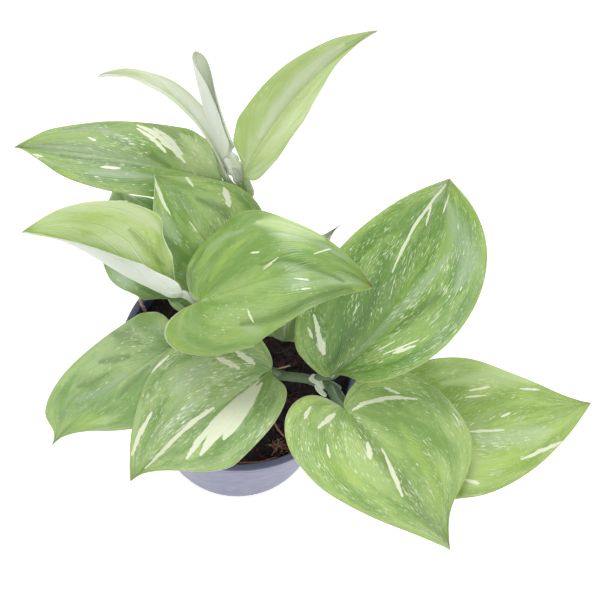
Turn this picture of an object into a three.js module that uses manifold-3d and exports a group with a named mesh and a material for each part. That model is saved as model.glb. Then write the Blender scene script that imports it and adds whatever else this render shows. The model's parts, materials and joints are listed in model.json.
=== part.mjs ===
// A potted scindapsus: fourteen variegated leaves on three short vines that
// stand in the soil of a round 12 cm nursery pot.
// Millimetres and degrees, +Z up. The origin is the middle of the pot's flat
// underside, and the photographed front of the plant looks towards -Y.
import * as THREE from 'three';
import { mergeVertices } from 'three/addons/utils/BufferGeometryUtils.js';
import Module from 'manifold-3d';

const wasm = await Module();
wasm.setup();
const { Manifold, Mesh: SolidMesh } = wasm;

// Pot
const POT_HEIGHT = 98;
const RIM_RADIUS = 60;
const RIM_INNER_RADIUS = 56.5;
const COLLAR_HEIGHT = 9;
const COLLAR_RADIUS = 59;
const WALL_TOP_RADIUS = 57.4;
const BASE_RADIUS = 43;
const WALL = 1.6;
const FLOOR = 2;
const POT_SIDES = 64;
const NOTCHES = 8;
const NOTCH = { width: 8, depth: 7, height: 4 };

// Soil
const SOIL_LEVEL = 89;
const SOIL_RELIEF = 1;
const SOIL_RINGS = 7;
const GAP = 0.3;
const MERGE = 0.0001;

// Leaves: blades, midribs and stalks
const BLADE_MIDDLE = 0.55;
const BLADE_EDGE = 0.33;
const MIDRIB_DEPTH = 1.1;
const RIBS = 14;
const ACROSS = 4;
const STALK_SIDES = 8;
const VINE_SIDES = 8;
const VINE_STEPS = 22;
const ROOT_SIDES = 6;
const ROOT_STEPS = 8;
const STICK_SIDES = 6;
const STICK_STEPS = 8;

const rad = THREE.MathUtils.degToRad;
const vec = (p) => new THREE.Vector3(p[0], p[1], p[2]);
const lerp = THREE.MathUtils.lerp;

// Vines. Each is a row of points from inside the soil to its growing end,
// with its thickness at the foot and at the end.
const VINES = {
  vine_front: {
    points: [[2, 8, 40], [5, 6, 72], [9, 1, 92], [14, -9, 106], [22, -14, 112], [34, -15, 114], [44, -17, 115], [50, -20, 115]],
    radius: [2.7, 2.2],
  },
  vine_left: {
    points: [[-16, 14, 40], [-17, 12, 72], [-18, 10, 95], [-18, 8, 115], [-19, 6, 130], [-21, 5, 141]],
    radius: [2.9, 2.3],
  },
  vine_rear: {
    points: [[4, 24, 40], [4, 28, 72], [4, 34, 90], [3, 44, 104], [0, 58, 117], [-5, 69, 130], [-10, 74, 142]],
    radius: [2.9, 2.1],
  },
};

// Roots lying half in the soil by the front of the rim, each made of strands
// that meet, and a dry stick that leans over the rim on the left.
const ROOTS = {
  root_rim: [
    { points: [[2, -53, 90], [9, -52.8, 90.6], [17, -51.2, 90.4], [25, -47.6, 90]], radius: [0.6, 0.45] },
  ],
  root_curved: [
    { points: [[20, -23, 89.6], [20.5, -28, 90.6], [23, -33, 90.7], [27.5, -37, 89.8]], radius: [0.7, 0.5] },
  ],
  root_tuft: [
    { points: [[24, -38, 89.4], [24.5, -42, 91], [24, -46, 92.2]], radius: [0.6, 0.4] },
    { points: [[20, -42, 89.6], [24, -42, 91], [28.5, -43.5, 89.8]], radius: [0.5, 0.4] },
    { points: [[22, -47, 89.6], [24.3, -43, 91.2], [27, -38.5, 89.6]], radius: [0.45, 0.4] },
  ],
};
const STICK = {
  points: [[-47, 18, 84], [-50, 18.5, 93], [-51.4, 19.3, 98.4], [-52.9, 20.9, 101.8], [-54.2, 25, 106.5]],
  radius: [0.9, 0.7],
};

// Leaves. base is where the stalk meets the blade and tip is its point.
// arch bows the midrib up, sweep bows it to the right, bank tips the right
// half down. Each half has its width, the depth of its basal lobe, where it
// is widest, how full its outer part is and how drawn out its point is. fold
// is the angle at which the half rises from the midrib, and curl the angle
// through which it turns down again by its edge, both at the base and tip.
const HALF = {
  width: 30, lobe: 4, widest: 0.38, full: 0.45, draw: 0.12, taper: 0.17,
  fold: [15, 15], curl: [20, 20],
};
const LEAVES = [
  {
    name: 'leaf_centre', look: 'lime', vine: 'vine_left',
    base: [-19.5, 2.5, 148], tip: [59, 20, 150], arch: 25, skew: 0.4, sweep: 3, bank: -1,
    left: { width: 42, lobe: 5.5, widest: 0.25, full: 0.16, draw: 0.12, taper: 0.1, fold: [8, 10], curl: [35, 20] },
    right: { width: 29, lobe: 16, widest: 0.26, full: -0.11, draw: 0.37, taper: 0.04, fold: [8, 10], curl: [50, 20] },
    stalk: [[-19, 6, 132], [-15, 3, 137], [-16, 2, 144]],
  },
  {
    name: 'leaf_right_tall', look: 'dark', vine: 'vine_front',
    base: [45, -16, 122], tip: [90, 75, 165], arch: -4, sweep: 8, bank: 0,
    left: { width: 38, lobe: 4, widest: 0.3, full: 0.75, draw: 0.2, taper: 0.05, fold: [33, 14], curl: [18, 20] },
    right: { width: 40, lobe: -6, widest: 0.38, full: 0.75, draw: 0.2, taper: 0.05, fold: [60, 14], curl: [18, 20] },
    stalk: [[39, -16, 114.5], [40, -15, 118]],
  },
  {
    name: 'leaf_front_right', look: 'lime', vine: 'vine_front',
    base: [53, -34, 129], tip: [109.5, -87, 103], arch: 9.5, skew: 0.3, sweep: -1, bank: -12,
    left: { width: 40, lobe: 5, widest: 0.33, full: 0.82, draw: 0.05, taper: 0.42, fold: [20, 16], curl: [25, 15] },
    right: { width: 41, lobe: 16, widest: 0.18, full: 0.42, draw: 0.18, taper: 0.12, fold: [20, 20], curl: [30, 15] },
    stalk: [[45.5, -17.5, 115], [46, -21, 119], [48, -27, 124]],
  },
  {
    name: 'leaf_right', look: 'lime', vine: 'vine_front',
    base: [77.5, -38, 99], tip: [177.5, -0.5, 94], arch: 10, sweep: 6, bank: -5,
    left: { width: 40, lobe: 6, widest: 0.3, full: 0.47, draw: 0.08, taper: 0.19, fold: [19, 9], curl: [23, 20] },
    right: { width: 34, lobe: 6, widest: 0.3, full: 0.3, draw: 0.17, taper: 0.12, fold: [19, 9], curl: [23, 20] },
    stalk: [[49, -19.5, 115], [54, -24, 111], [62, -30, 103], [70, -35, 98.5]],
  },
  {
    name: 'leaf_front', look: 'dark', vine: 'vine_front',
    base: [17, -14, 118], tip: [-42, -72, 101], arch: 4, sweep: -0.5, bank: 0,
    left: { width: 34.5, lobe: -3, widest: 0.48, full: 0.28, draw: 0, taper: 0.19, fold: [42, 34], curl: [18, 20] },
    right: { width: 38, lobe: 5, widest: 0.35, full: 0.55, draw: 0.18, taper: 0.07, fold: [15, 12], curl: [20, 25] },
    stalk: [[20, -13, 111], [20, -14.5, 115]],
  },
  {
    name: 'leaf_front_left', look: 'dark', vine: 'vine_left',
    base: [-32.5, -5, 110], tip: [-84, -56, 90], arch: 3, sweep: 1.5, bank: 8, wave: 0.3,
    left: { width: 28, lobe: 4, widest: 0.36, full: 0.4, draw: 0, taper: 0.21, fold: [20, 18], curl: [45, 30] },
    right: { width: 26.5, lobe: 5.5, widest: 0.09, full: 1.25, draw: 0.15, taper: 0.24, fold: [20, 18], curl: [45, 30] },
    stalk: [[-17.8, 10, 98], [-22, 6, 102], [-27, 1, 107]],
  },
  {
    name: 'leaf_upper_left', look: 'dark', vine: 'vine_rear',
    base: [-18, 75.5, 136], tip: [-121, 73, 148], arch: 8, sweep: -2, bank: 2,
    left: { width: 19.5, lobe: 2, widest: 0.47, full: 0.57, draw: 0.12, taper: 0.11, fold: [12, 12], curl: [20, 30] },
    right: { width: 25, lobe: -4, widest: 0.24, full: 0.8, draw: 0.17, taper: 0.1, fold: [20, 15], curl: [30, 50] },
    stalk: [[-1.7, 62, 121.5], [-7, 67, 123.5], [-13, 73, 129.5]],
  },
  {
    name: 'leaf_middle', look: 'dark', vine: 'vine_rear',
    base: [-10, 30.5, 122], tip: [-50, 62, 157], arch: 4, sweep: 0, bank: 0,
    left: { width: 25.5, lobe: 3, widest: 0.35, full: 0.55, draw: 0.15, taper: 0.11, fold: [15, 15], curl: [30, 20] },
    right: { width: 33.5, lobe: 3, widest: 0.31, full: 0.5, draw: 0.15, taper: 0.14, fold: [15, 15], curl: [30, 20] },
    stalk: [[3.6, 38, 96], [0, 34, 104], [-6, 31, 114]],
  },
  {
    name: 'leaf_top_right', look: 'lime', vine: 'vine_rear',
    base: [-8.5, 72, 148.5], tip: [48, 132, 196.5], arch: 2, sweep: -8, bank: -14, wave: 0.3,
    left: { width: 16, lobe: -9, widest: 0.27, full: 0.63, draw: 0.2, taper: 0.09, fold: [30, 40], curl: [5, 5] },
    right: { width: 30, lobe: 0, widest: 0.39, full: 0.4, draw: 0.05, taper: 0.25, fold: [35, 42], curl: [20, 5] },
    stalk: [[-6, 70.5, 132.5], [-4, 70, 138], [-5, 70, 143]],
  },
  {
    name: 'leaf_top_left', look: 'silvery', vine: 'vine_rear',
    base: [-15.5, 73, 143], tip: [-89, 122, 146], arch: 17, sweep: 8.5, bank: 0,
    left: { width: 11, lobe: -6, widest: 0.34, fold: [66, 40], curl: [0, 0] },
    right: { width: 8, lobe: -6, widest: 0.28, full: 0.54, draw: 0.4, taper: 0.08, fold: [62, 42], curl: [0, 0] },
    stalk: [[-7.2, 71.2, 135], [-13, 72.3, 137.5]],
  },
  {
    name: 'leaf_furled', look: 'silvery', vine: 'vine_rear',
    base: [-15.5, 76.5, 156], tip: [-34.5, 99.5, 206], arch: 1, sweep: -2.5, bank: 0, wave: 0,
    left: { width: 18, lobe: -8, widest: 0.35, draw: 1, taper: 0.01, fold: [30, 30], curl: [-110, -110] },
    right: { width: 12, lobe: -8, widest: 0.3, draw: 1, taper: 0.06, fold: [30, 30], curl: [-110, -110] },
    stalk: [[-10, 74, 141.9], [-11.4, 75, 146]],
  },
  {
    name: 'leaf_left_boat', look: 'lime', vine: 'vine_left',
    base: [-32, 5.5, 148.5], tip: [-103, 18, 164.5], arch: -7, skew: -2.2, sweep: 5, bank: 0,
    left: { width: 14.5, lobe: 7, widest: 0.24, full: 1.3, draw: 0.14, taper: 0.16, fold: [70, 50], curl: [-85, -20] },
    right: { width: 32, lobe: 2, widest: 0.38, full: 0.5, draw: 0.16, taper: 0.13, fold: [45, 19], curl: [0, 0] },
    stalk: [[-21, 5, 139.5], [-23, 6.5, 141], [-28, 7.5, 143.5]],
  },
  {
    name: 'leaf_rear_left', look: 'dark', vine: 'vine_left',
    base: [-35, 18, 112], tip: [-76, 79, 120], arch: 4, sweep: -1.5, bank: 10, wave: -3.5,
    left: { width: 24, lobe: -6, widest: 0.33, full: 0.6, fold: [18, 8], curl: [22, 20] },
    right: { width: 24, lobe: 6, fold: [18, 8], curl: [22, 20] },
    stalk: [[-18, 10, 103], [-24, 12, 107], [-30, 15, 110]],
  },
  {
    name: 'leaf_rear_right', look: 'dark', vine: 'vine_rear',
    base: [22, 6, 108], tip: [42, 58, 139], arch: 6, sweep: -6, bank: 0,
    left: { width: 18, lobe: -2, draw: 0.04, taper: 0.24, fold: [14, 55] },
    right: { width: 24, lobe: -1, draw: 0.04, taper: 0.24, fold: [14, 55] },
    stalk: [[4, 33, 90], [10, 22, 96], [18, 10, 104]],
  },
];

// Colours, roughness and metalness of the finishes
const FINISH = {
  pot: [0x4a4e66, 0.45], soil: [0x2a1c16, 1], vine: [0x6f8f62, 0.5], root: [0x9a5f38, 0.9],
  dark: [0x3f6f2c, 0.4], lime: [0x7fae3f, 0.4], silvery: [0xb9c8ac, 0.4], stick: [0xc59a86, 0.9],
};
const finish = ([color, roughness]) => new THREE.MeshStandardMaterial({ color, roughness, metalness: 0 });

// Solids
function solidFrom(vertices, triangles) {
  return new Manifold(new SolidMesh({
    numProp: 3,
    vertProperties: new Float32Array(vertices),
    triVerts: new Uint32Array(triangles),
  }));
}

// A solid of a three.js geometry, whose shared corners are joined first
function solidOf(geometry) {
  geometry.deleteAttribute('normal');
  geometry.deleteAttribute('uv');
  const joined = mergeVertices(geometry, MERGE);
  const index = joined.index.array;
  const triangles = [];
  for (let i = 0; i < index.length; i += 3) {
    const [a, b, c] = [index[i], index[i + 1], index[i + 2]];
    if (a !== b && b !== c && c !== a) triangles.push(a, b, c);
  }
  return solidFrom(joined.attributes.position.array, triangles);
}

function geometryFrom(solid) {
  const mesh = solid.getMesh();
  const geometry = new THREE.BufferGeometry();
  geometry.setAttribute('position', new THREE.BufferAttribute(new Float32Array(mesh.vertProperties), 3));
  geometry.setIndex(new THREE.BufferAttribute(new Uint32Array(mesh.triVerts), 1));
  geometry.computeVertexNormals();
  return geometry;
}

// A closed tube along a smooth curve, with round ends left flat
function tube(points, radiusAt, sides, steps) {
  const curve = new THREE.CatmullRomCurve3(points.map(vec), false, 'centripetal');
  const frames = curve.computeFrenetFrames(steps);
  const vertices = [];
  const triangles = [];
  for (let i = 0; i <= steps; i++) {
    const centre = curve.getPointAt(i / steps);
    const radius = radiusAt(i / steps);
    for (let k = 0; k < sides; k++) {
      const angle = (2 * Math.PI * k) / sides;
      const p = centre.clone()
        .addScaledVector(frames.normals[i], radius * Math.cos(angle))
        .addScaledVector(frames.binormals[i], radius * Math.sin(angle));
      vertices.push(p.x, p.y, p.z);
    }
  }
  for (let i = 0; i < steps; i++) {
    for (let k = 0; k < sides; k++) {
      const a = i * sides + k;
      const b = i * sides + ((k + 1) % sides);
      triangles.push(a, b, b + sides, a, b + sides, a + sides);
    }
  }
  for (let k = 1; k < sides - 1; k++) {
    const end = steps * sides;
    triangles.push(0, k + 1, k, end, end + k, end + k + 1);
  }
  return solidFrom(vertices, triangles);
}

// A rod along named points, made thicker and longer all round by extra
function rod({ points, radius }, extra, sides, steps) {
  const row = points.map(vec);
  const last = row.length - 1;
  const foot = row[0].clone().sub(row[1]).setLength(extra);
  const end = row[last].clone().sub(row[last - 1]).setLength(extra);
  row[0].add(foot);
  row[last].add(end);
  const radiusAt = (u) => lerp(radius[0], radius[1], u) + extra;
  return tube(row.map((p) => p.toArray()), radiusAt, sides, steps);
}

const vineTube = (vine, extra) => rod(vine, extra, VINE_SIDES, VINE_STEPS);

// Leaf blades
function cubic(p, t) {
  const a = 1 - t;
  const w = [a * a * a, 3 * a * a * t, 3 * a * t * t, t * t * t];
  return [0, 1].map((k) => w.reduce((sum, weight, i) => sum + weight * p[i][k], 0));
}

// The half outline runs from the stalk round the lobe (up to LOBE_END), out
// to the widest place (up to WIDE_END) and on to the tip.
const LOBE_END = 0.14;
const WIDE_END = 0.52;
function outlinePoint(half, length, s) {
  const { width: w, lobe, full, draw, taper } = half;
  const y = half.widest * length;
  const back = [0.45 * w, -lobe];
  const side = [w, y];
  if (s < LOBE_END) {
    return cubic([[0, 0], [0.05 * w, -0.75 * lobe], [0.22 * w, -lobe], back], s / LOBE_END);
  }
  if (s < WIDE_END) {
    const t = (s - LOBE_END) / (WIDE_END - LOBE_END);
    return cubic([back, [0.78 * w, -lobe], [w, y - 0.5 * (y + lobe)], side], t);
  }
  const t = (s - WIDE_END) / (1 - WIDE_END);
  return cubic([side, [w, y + full * (length - y)], [draw * w, length * (1 - taper)], [0, length]], t);
}

// Veins leave the midrib at a slant and bend forward to the edge
function flatPoint(half, length, s, t) {
  const edge = outlinePoint(half, length, s);
  const start = length * (s < 0.1 ? 0.2 * s : 0.02 + 0.98 * Math.pow((s - 0.1) / 0.9, 1.25));
  return [edge[0] * (1 - Math.pow(1 - t, 1.35)), lerp(start, edge[1], Math.pow(t, 1.2))];
}

function leafFrame(leaf) {
  const base = vec(leaf.base);
  const chord = vec(leaf.tip).sub(base);
  const length = chord.length();
  const along = chord.clone().divideScalar(length);
  const up = new THREE.Vector3(0, 0, 1).addScaledVector(along, -along.z).normalize();
  const right = new THREE.Vector3().crossVectors(along, up);
  const turn = rad(leaf.bank);
  const normal = up.clone().multiplyScalar(Math.cos(turn)).addScaledVector(right, Math.sin(turn));
  const side = right.clone().multiplyScalar(Math.cos(turn)).addScaledVector(up, -Math.sin(turn));
  return { base, length, along, normal, side };
}

// The midrib and its two cross directions at v, 0 at the stalk and 1 at the tip
function midribAt(leaf, frame, v) {
  const inside = THREE.MathUtils.clamp(v, 0, 1);
  const skew = leaf.skew ?? 0;
  const lean = 1 + skew * (2 * inside - 1);
  const bow = 4 * inside * (1 - inside);
  const bowSlope = 4 * (1 - 2 * inside);
  const rise = leaf.arch * bow * lean;
  const riseSlope = leaf.arch * (bowSlope * lean + 2 * skew * bow);
  const point = frame.base.clone()
    .addScaledVector(frame.along, v * frame.length)
    .addScaledVector(frame.normal, rise + Math.min(v, 0) * riseSlope)
    .addScaledVector(frame.side, leaf.sweep * bow + Math.min(v, 0) * leaf.sweep * bowSlope);
  const tangent = frame.along.clone().multiplyScalar(frame.length)
    .addScaledVector(frame.normal, riseSlope)
    .addScaledVector(frame.side, leaf.sweep * bowSlope)
    .normalize();
  const side = frame.side.clone().addScaledVector(tangent, -frame.side.dot(tangent)).normalize();
  const normal = new THREE.Vector3().crossVectors(side, tangent);
  return { point, tangent, side, normal };
}

// A point of the blade's middle surface and its normal; sign is -1 on the
// left half and 1 on the right half
function bladePoint(leaf, frame, sign, s, t) {
  const half = { ...HALF, ...(sign < 0 ? leaf.left : leaf.right) };
  const [x, y] = flatPoint(half, frame.length, s, t);
  const v = y / frame.length;
  const inside = THREE.MathUtils.clamp(v, 0, 1);
  const rib = midribAt(leaf, frame, v);
  const fold = rad(lerp(half.fold[0], half.fold[1], inside));
  let bend = rad(lerp(half.curl[0], half.curl[1], inside)) / half.width;
  if (Math.abs(bend) < 1e-6) bend = 1e-6;
  const slope = fold - bend * x;
  const across = (Math.sin(fold) - Math.sin(slope)) / bend;
  const wave = (leaf.wave ?? 0.8) * Math.sin(2 * Math.PI * 2.5 * s) * t * t;
  const rise = (Math.cos(slope) - Math.cos(fold)) / bend + wave;
  const point = rib.point.addScaledVector(rib.side, sign * across).addScaledVector(rib.normal, rise);
  const normal = rib.normal.clone();
  if (t > 0) {
    normal.multiplyScalar(Math.cos(slope)).addScaledVector(rib.side, -sign * Math.sin(slope));
  }
  return { point, normal };
}

function bladeSolid(leaf) {
  const frame = leafFrame(leaf);
  const vertices = [];
  const triangles = [];
  const numbers = new Map();
  const vertex = (face, sign, i, j) => {
    const tipOrStalk = i === 0 || i === RIBS;
    const key = tipOrStalk ? `${face},${i}` : j === 0 ? `${face},${i},0` : `${face},${i},${j},${sign}`;
    if (!numbers.has(key)) {
      const s = i / RIBS;
      const t = tipOrStalk ? 0 : j / ACROSS;
      const { point, normal } = bladePoint(leaf, frame, sign, s, t);
      const half = lerp(BLADE_MIDDLE, BLADE_EDGE, t);
      const ridge = j === 0 || tipOrStalk ? MIDRIB_DEPTH * (1 - 0.8 * s) : 0;
      const p = point.addScaledVector(normal, face > 0 ? half : -half - ridge);
      numbers.set(key, vertices.length / 3);
      vertices.push(p.x, p.y, p.z);
    }
    return numbers.get(key);
  };
  const face3 = (flip, a, b, c) => {
    if (a === b || b === c || c === a) return;
    if (flip) triangles.push(a, c, b);
    else triangles.push(a, b, c);
  };
  for (const sign of [-1, 1]) {
    for (let i = 0; i < RIBS; i++) {
      for (let j = 0; j < ACROSS; j++) {
        for (const face of [1, -1]) {
          const [a, b, c, d] = [[i, j], [i, j + 1], [i + 1, j + 1], [i + 1, j]]
            .map(([p, q]) => vertex(face, sign, p, q));
          const flip = sign * face < 0;
          face3(flip, a, b, c);
          face3(flip, a, c, d);
        }
      }
      const [a, b] = [vertex(1, sign, i, ACROSS), vertex(1, sign, i + 1, ACROSS)];
      const [c, d] = [vertex(-1, sign, i + 1, ACROSS), vertex(-1, sign, i, ACROSS)];
      face3(sign < 0, d, c, b);
      face3(sign < 0, d, b, a);
    }
  }
  return solidFrom(vertices, triangles);
}

// The stalk starts inside its vine, ends under the midrib and tapers away there
function stalkSolid(leaf) {
  const frame = leafFrame(leaf);
  const under = (v, depth) => {
    const rib = midribAt(leaf, frame, v);
    return rib.point.addScaledVector(rib.normal, -depth).toArray();
  };
  const points = [...leaf.stalk, under(0.01, 1.2), under(0.09, 1.0), under(0.18, 0.6)];
  const radiusAt = (u) => (u < 0.6 ? lerp(2.1, 1.7, u / 0.6) : lerp(1.7, 0.5, (u - 0.6) / 0.4));
  return tube(points, radiusAt, STALK_SIDES, 10);
}

// Blade and stalk in one, cut clear of the vine
function leafSolid(leaf) {
  const vine = VINES[leaf.vine];
  return bladeSolid(leaf).add(stalkSolid(leaf)).subtract(vineTube(vine, GAP));
}

// Pot: a turned shell with a collar, and drainage notches in its bottom edge
function potSolid() {

  const profile = [
    [0, 0], [BASE_RADIUS - 3, 0], [BASE_RADIUS, 1.2],
    [WALL_TOP_RADIUS, POT_HEIGHT - COLLAR_HEIGHT], [COLLAR_RADIUS, POT_HEIGHT - COLLAR_HEIGHT + 0.8],
    [RIM_RADIUS - 0.3, POT_HEIGHT - 1.2], [RIM_RADIUS, POT_HEIGHT - 0.6], [RIM_RADIUS - 0.6, POT_HEIGHT],
    [RIM_INNER_RADIUS, POT_HEIGHT], [WALL_TOP_RADIUS - WALL, POT_HEIGHT - COLLAR_HEIGHT],
    [BASE_RADIUS - WALL, FLOOR + 1], [BASE_RADIUS - WALL - 2, FLOOR], [0, FLOOR],
  ];
  let shell = solidOf(turned(profile));
  for (let k = 0; k < NOTCHES; k++) {
    const notch = new THREE.BoxGeometry(2 * NOTCH.depth, NOTCH.width, 2 * NOTCH.height);
    notch.translate(BASE_RADIUS, 0, 0).rotateZ((2 * Math.PI * (k + 0.5)) / NOTCHES);
    shell = shell.subtract(solidOf(notch));
  }
  return shell;
}

// A body turned about Z from a profile of [radius, height] that starts and
// ends on the axis
function turned(profile) {
  const points = profile.map(([x, y]) => new THREE.Vector2(x, y));
  return new THREE.LatheGeometry(points, POT_SIDES).rotateX(Math.PI / 2);
}

// Soil fills the pot up to a rough top. The vines, roots and stick stand in it
// with a gap all round.
function soilSolid() {
  const wallAt = (z) => lerp(BASE_RADIUS, WALL_TOP_RADIUS, z / (POT_HEIGHT - COLLAR_HEIGHT)) - WALL - GAP;
  const profile = [[0, FLOOR + GAP], [wallAt(0) - 2.4, FLOOR + GAP], [wallAt(FLOOR) - 0.2, FLOOR + 2]];
  for (let k = 0; k < SOIL_RINGS; k++) profile.push([wallAt(SOIL_LEVEL) * (1 - k / SOIL_RINGS), SOIL_LEVEL]);
  profile.push([0, SOIL_LEVEL]);
  const rough = (x, y) => Math.sin(0.31 * x + 1.1) * Math.cos(0.27 * y - 0.4) + 0.6 * Math.sin(0.53 * y + 0.19 * x);
  const filling = turned(profile);
  const at = filling.attributes.position;
  for (let i = 0; i < at.count; i++) {
    const inward = 1 - Math.hypot(at.getX(i), at.getY(i)) / wallAt(SOIL_LEVEL);
    const relief = SOIL_RELIEF * rough(at.getX(i), at.getY(i)) * Math.min(1, 4 * inward);
    if (at.getZ(i) > SOIL_LEVEL - 1) at.setZ(i, SOIL_LEVEL + relief);
  }
  let soil = solidOf(filling);
  for (const vine of Object.values(VINES)) soil = soil.subtract(vineTube(vine, GAP));
  for (const strands of Object.values(ROOTS)) soil = soil.subtract(rootSolid(strands, GAP));
  return soil.subtract(rod(STICK, GAP, STICK_SIDES, STICK_STEPS));
}

const rootSolid = (strands, extra) =>
  strands.map((strand) => rod(strand, extra, ROOT_SIDES, ROOT_STEPS)).reduce((all, one) => all.add(one));

const plant = new THREE.Group();
function add(name, solid, look) {
  const mesh = new THREE.Mesh(geometryFrom(solid), finish(FINISH[look]));
  mesh.name = name;
  plant.add(mesh);
}

add('pot', potSolid(), 'pot');
add('soil', soilSolid(), 'soil');
for (const [name, vine] of Object.entries(VINES)) add(name, vineTube(vine, 0), 'vine');
for (const leaf of LEAVES) add(leaf.name, leafSolid(leaf), leaf.look);
for (const [name, strands] of Object.entries(ROOTS)) add(name, rootSolid(strands, 0), 'root');
add('stick', rod(STICK, 0, STICK_SIDES, STICK_STEPS), 'stick');

export default plant;
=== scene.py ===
# %% [markdown]
# # A potted scindapsus, built as a lesson
# The real thing is a young house plant: fourteen broad leaves with cream
# flecks, on three short vines in a 12 cm nursery pot. The CAD model fixes where
# every leaf, vine and wall is. This lesson dresses it: each piece is built again
# finely in the same place, and gets a finish made of nodes. Lengths are written
# in millimetres, as a maker would measure them, and turned into metres once.

import json
import math
import random

import bmesh
import bpy
import numpy as np
from mathutils import Matrix, Vector, noise

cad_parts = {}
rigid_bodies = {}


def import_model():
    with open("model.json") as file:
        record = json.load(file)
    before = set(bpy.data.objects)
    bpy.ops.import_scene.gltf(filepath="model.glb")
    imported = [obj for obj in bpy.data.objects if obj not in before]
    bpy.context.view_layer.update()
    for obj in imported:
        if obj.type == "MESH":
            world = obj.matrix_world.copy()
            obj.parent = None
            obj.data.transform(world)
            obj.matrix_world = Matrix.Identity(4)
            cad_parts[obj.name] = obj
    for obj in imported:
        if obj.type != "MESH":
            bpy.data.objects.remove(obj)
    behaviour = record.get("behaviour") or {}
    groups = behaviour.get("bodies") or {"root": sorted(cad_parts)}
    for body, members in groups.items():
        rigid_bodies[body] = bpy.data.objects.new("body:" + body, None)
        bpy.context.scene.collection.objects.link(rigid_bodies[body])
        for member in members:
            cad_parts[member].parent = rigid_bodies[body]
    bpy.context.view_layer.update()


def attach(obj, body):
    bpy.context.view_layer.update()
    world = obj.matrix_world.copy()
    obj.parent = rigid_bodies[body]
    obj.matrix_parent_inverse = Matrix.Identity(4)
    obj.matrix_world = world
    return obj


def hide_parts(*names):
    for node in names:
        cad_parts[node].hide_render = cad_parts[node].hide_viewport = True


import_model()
MM = 0.001


def add_object(name, data):
    made = bpy.data.objects.new(name, data)
    bpy.context.collection.objects.link(made)
    return made


# %% [markdown]
# ## Camera
# The plant was photographed from steeply above, a little tilted. A long lens
# keeps the leaves' proportions. The camera could be aimed with a constraint, but
# three plain directions put into a matrix leave nothing to follow or solve.

# %% Camera
AIM = np.array((26.5, 34.5, 98.0))
DISTANCE = 612
ELEVATION = math.radians(63.5)
TILT = math.radians(7)
LENS = 72

forward = np.array((0, math.cos(ELEVATION), -math.sin(ELEVATION)))
level = np.array((1.0, 0, 0))
upward = np.cross(level, forward)
right = math.cos(TILT) * level + math.sin(TILT) * upward
top = math.cos(TILT) * upward - math.sin(TILT) * level
place = (AIM - forward * DISTANCE) * MM

camera = add_object("camera", bpy.data.cameras.new("camera"))
camera.data.lens = LENS
camera.data.clip_start = 0.01
camera.matrix_world = Matrix([*np.column_stack((right, top, -forward, place)), (0, 0, 0, 1)])
bpy.context.scene.camera = camera
print("camera at", place.round(3))

# %% [markdown]
# ## Light
# The photograph is bright and almost without shadows, as in a white tent. A pale
# world lights everything evenly, and two large soft panels above give the leaves
# their satin shine and a little shape.

# %% Light
WHITE = (1.0, 0.995, 1.0, 1)
WORLD_STRENGTH = 0.8
LIT_POINT = (0, 0, 0.1)
PANELS = {
    "panel_behind": ((-0.35, 0.8, 1.15), 0.9, 11),
    "panel_front": ((0.5, -0.8, 1.1), 1.0, 4),
}


def light_panel(name, at, size, power):
    data = bpy.data.lights.new(name, "AREA")
    data.size = size
    data.energy = power
    panel = add_object(name, data)
    panel.location = at
    panel.rotation_euler = (Vector(LIT_POINT) - Vector(at)).to_track_quat("-Z", "Y").to_euler()


world = bpy.data.worlds.new("white tent")
world.use_nodes = True
world.node_tree.nodes["Background"].inputs["Color"].default_value = WHITE
world.node_tree.nodes["Background"].inputs["Strength"].default_value = WORLD_STRENGTH
bpy.context.scene.world = world
bpy.context.scene.view_settings.view_transform = "Standard"
for name, (at, size, power) in PANELS.items():
    light_panel(name, at, size, power)
print("panels:", len(PANELS))

# %% [markdown]
# ## Helpers for nodes
# A finish is a small net of nodes. `put` adds one node, joins whatever sockets it
# is given and hands back the output that is wanted, so that a finish reads like
# a list of steps.

# %% Node helpers


def put(tree, kind, values=(), out=0, **settings):
    made = tree.nodes.new("ShaderNode" + kind)
    for key, setting in settings.items():
        setattr(made, key, setting)
    pairs = values.items() if isinstance(values, dict) else enumerate(values)
    for socket, value in pairs:
        if isinstance(value, bpy.types.NodeSocket):
            tree.links.new(value, made.inputs[socket])
        elif value is not None:
            made.inputs[socket].default_value = value
    return made.outputs[out]


def maths(tree, operation, *values):
    return put(tree, "Math", values, operation=operation)


def plus(tree, first, second):
    return maths(tree, "ADD", first, second)


def minus(tree, first, second):
    return maths(tree, "SUBTRACT", first, second)


def times(tree, first, second):
    return maths(tree, "MULTIPLY", first, second)


def vectors(tree, operation, *values, out=0):
    return put(tree, "VectorMath", values, out=out, operation=operation)


def scaled(tree, place, by):
    return vectors(tree, "MULTIPLY", place, by)


def blend(tree, factor, first, second):
    return put(tree, "Mix", {0: factor, 6: first, 7: second}, out=2, data_type="RGBA")


def ramp(tree, value, low, high, to_low=0.0, to_high=1.0):
    values = (value, low, high, to_low, to_high)
    return put(tree, "MapRange", values, interpolation_type="SMOOTHSTEP")


def grain(tree, where, scale, detail=2.0):
    return put(tree, "TexNoise", {"Vector": where, "Scale": scale, "Detail": detail})


def new_group(name, takes, gives):
    tree = bpy.data.node_groups.new(name, "ShaderNodeTree")
    for label, value in takes.items():
        kind = "NodeSocketVector" if isinstance(value, tuple) else "NodeSocketFloat"
        socket = tree.interface.new_socket(label, in_out="INPUT", socket_type=kind)
        socket.default_value = value
    for label in gives:
        tree.interface.new_socket(label, in_out="OUTPUT", socket_type="NodeSocketFloat")
    return tree, tree.nodes.new("NodeGroupInput").outputs, tree.nodes.new("NodeGroupOutput").inputs


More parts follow.
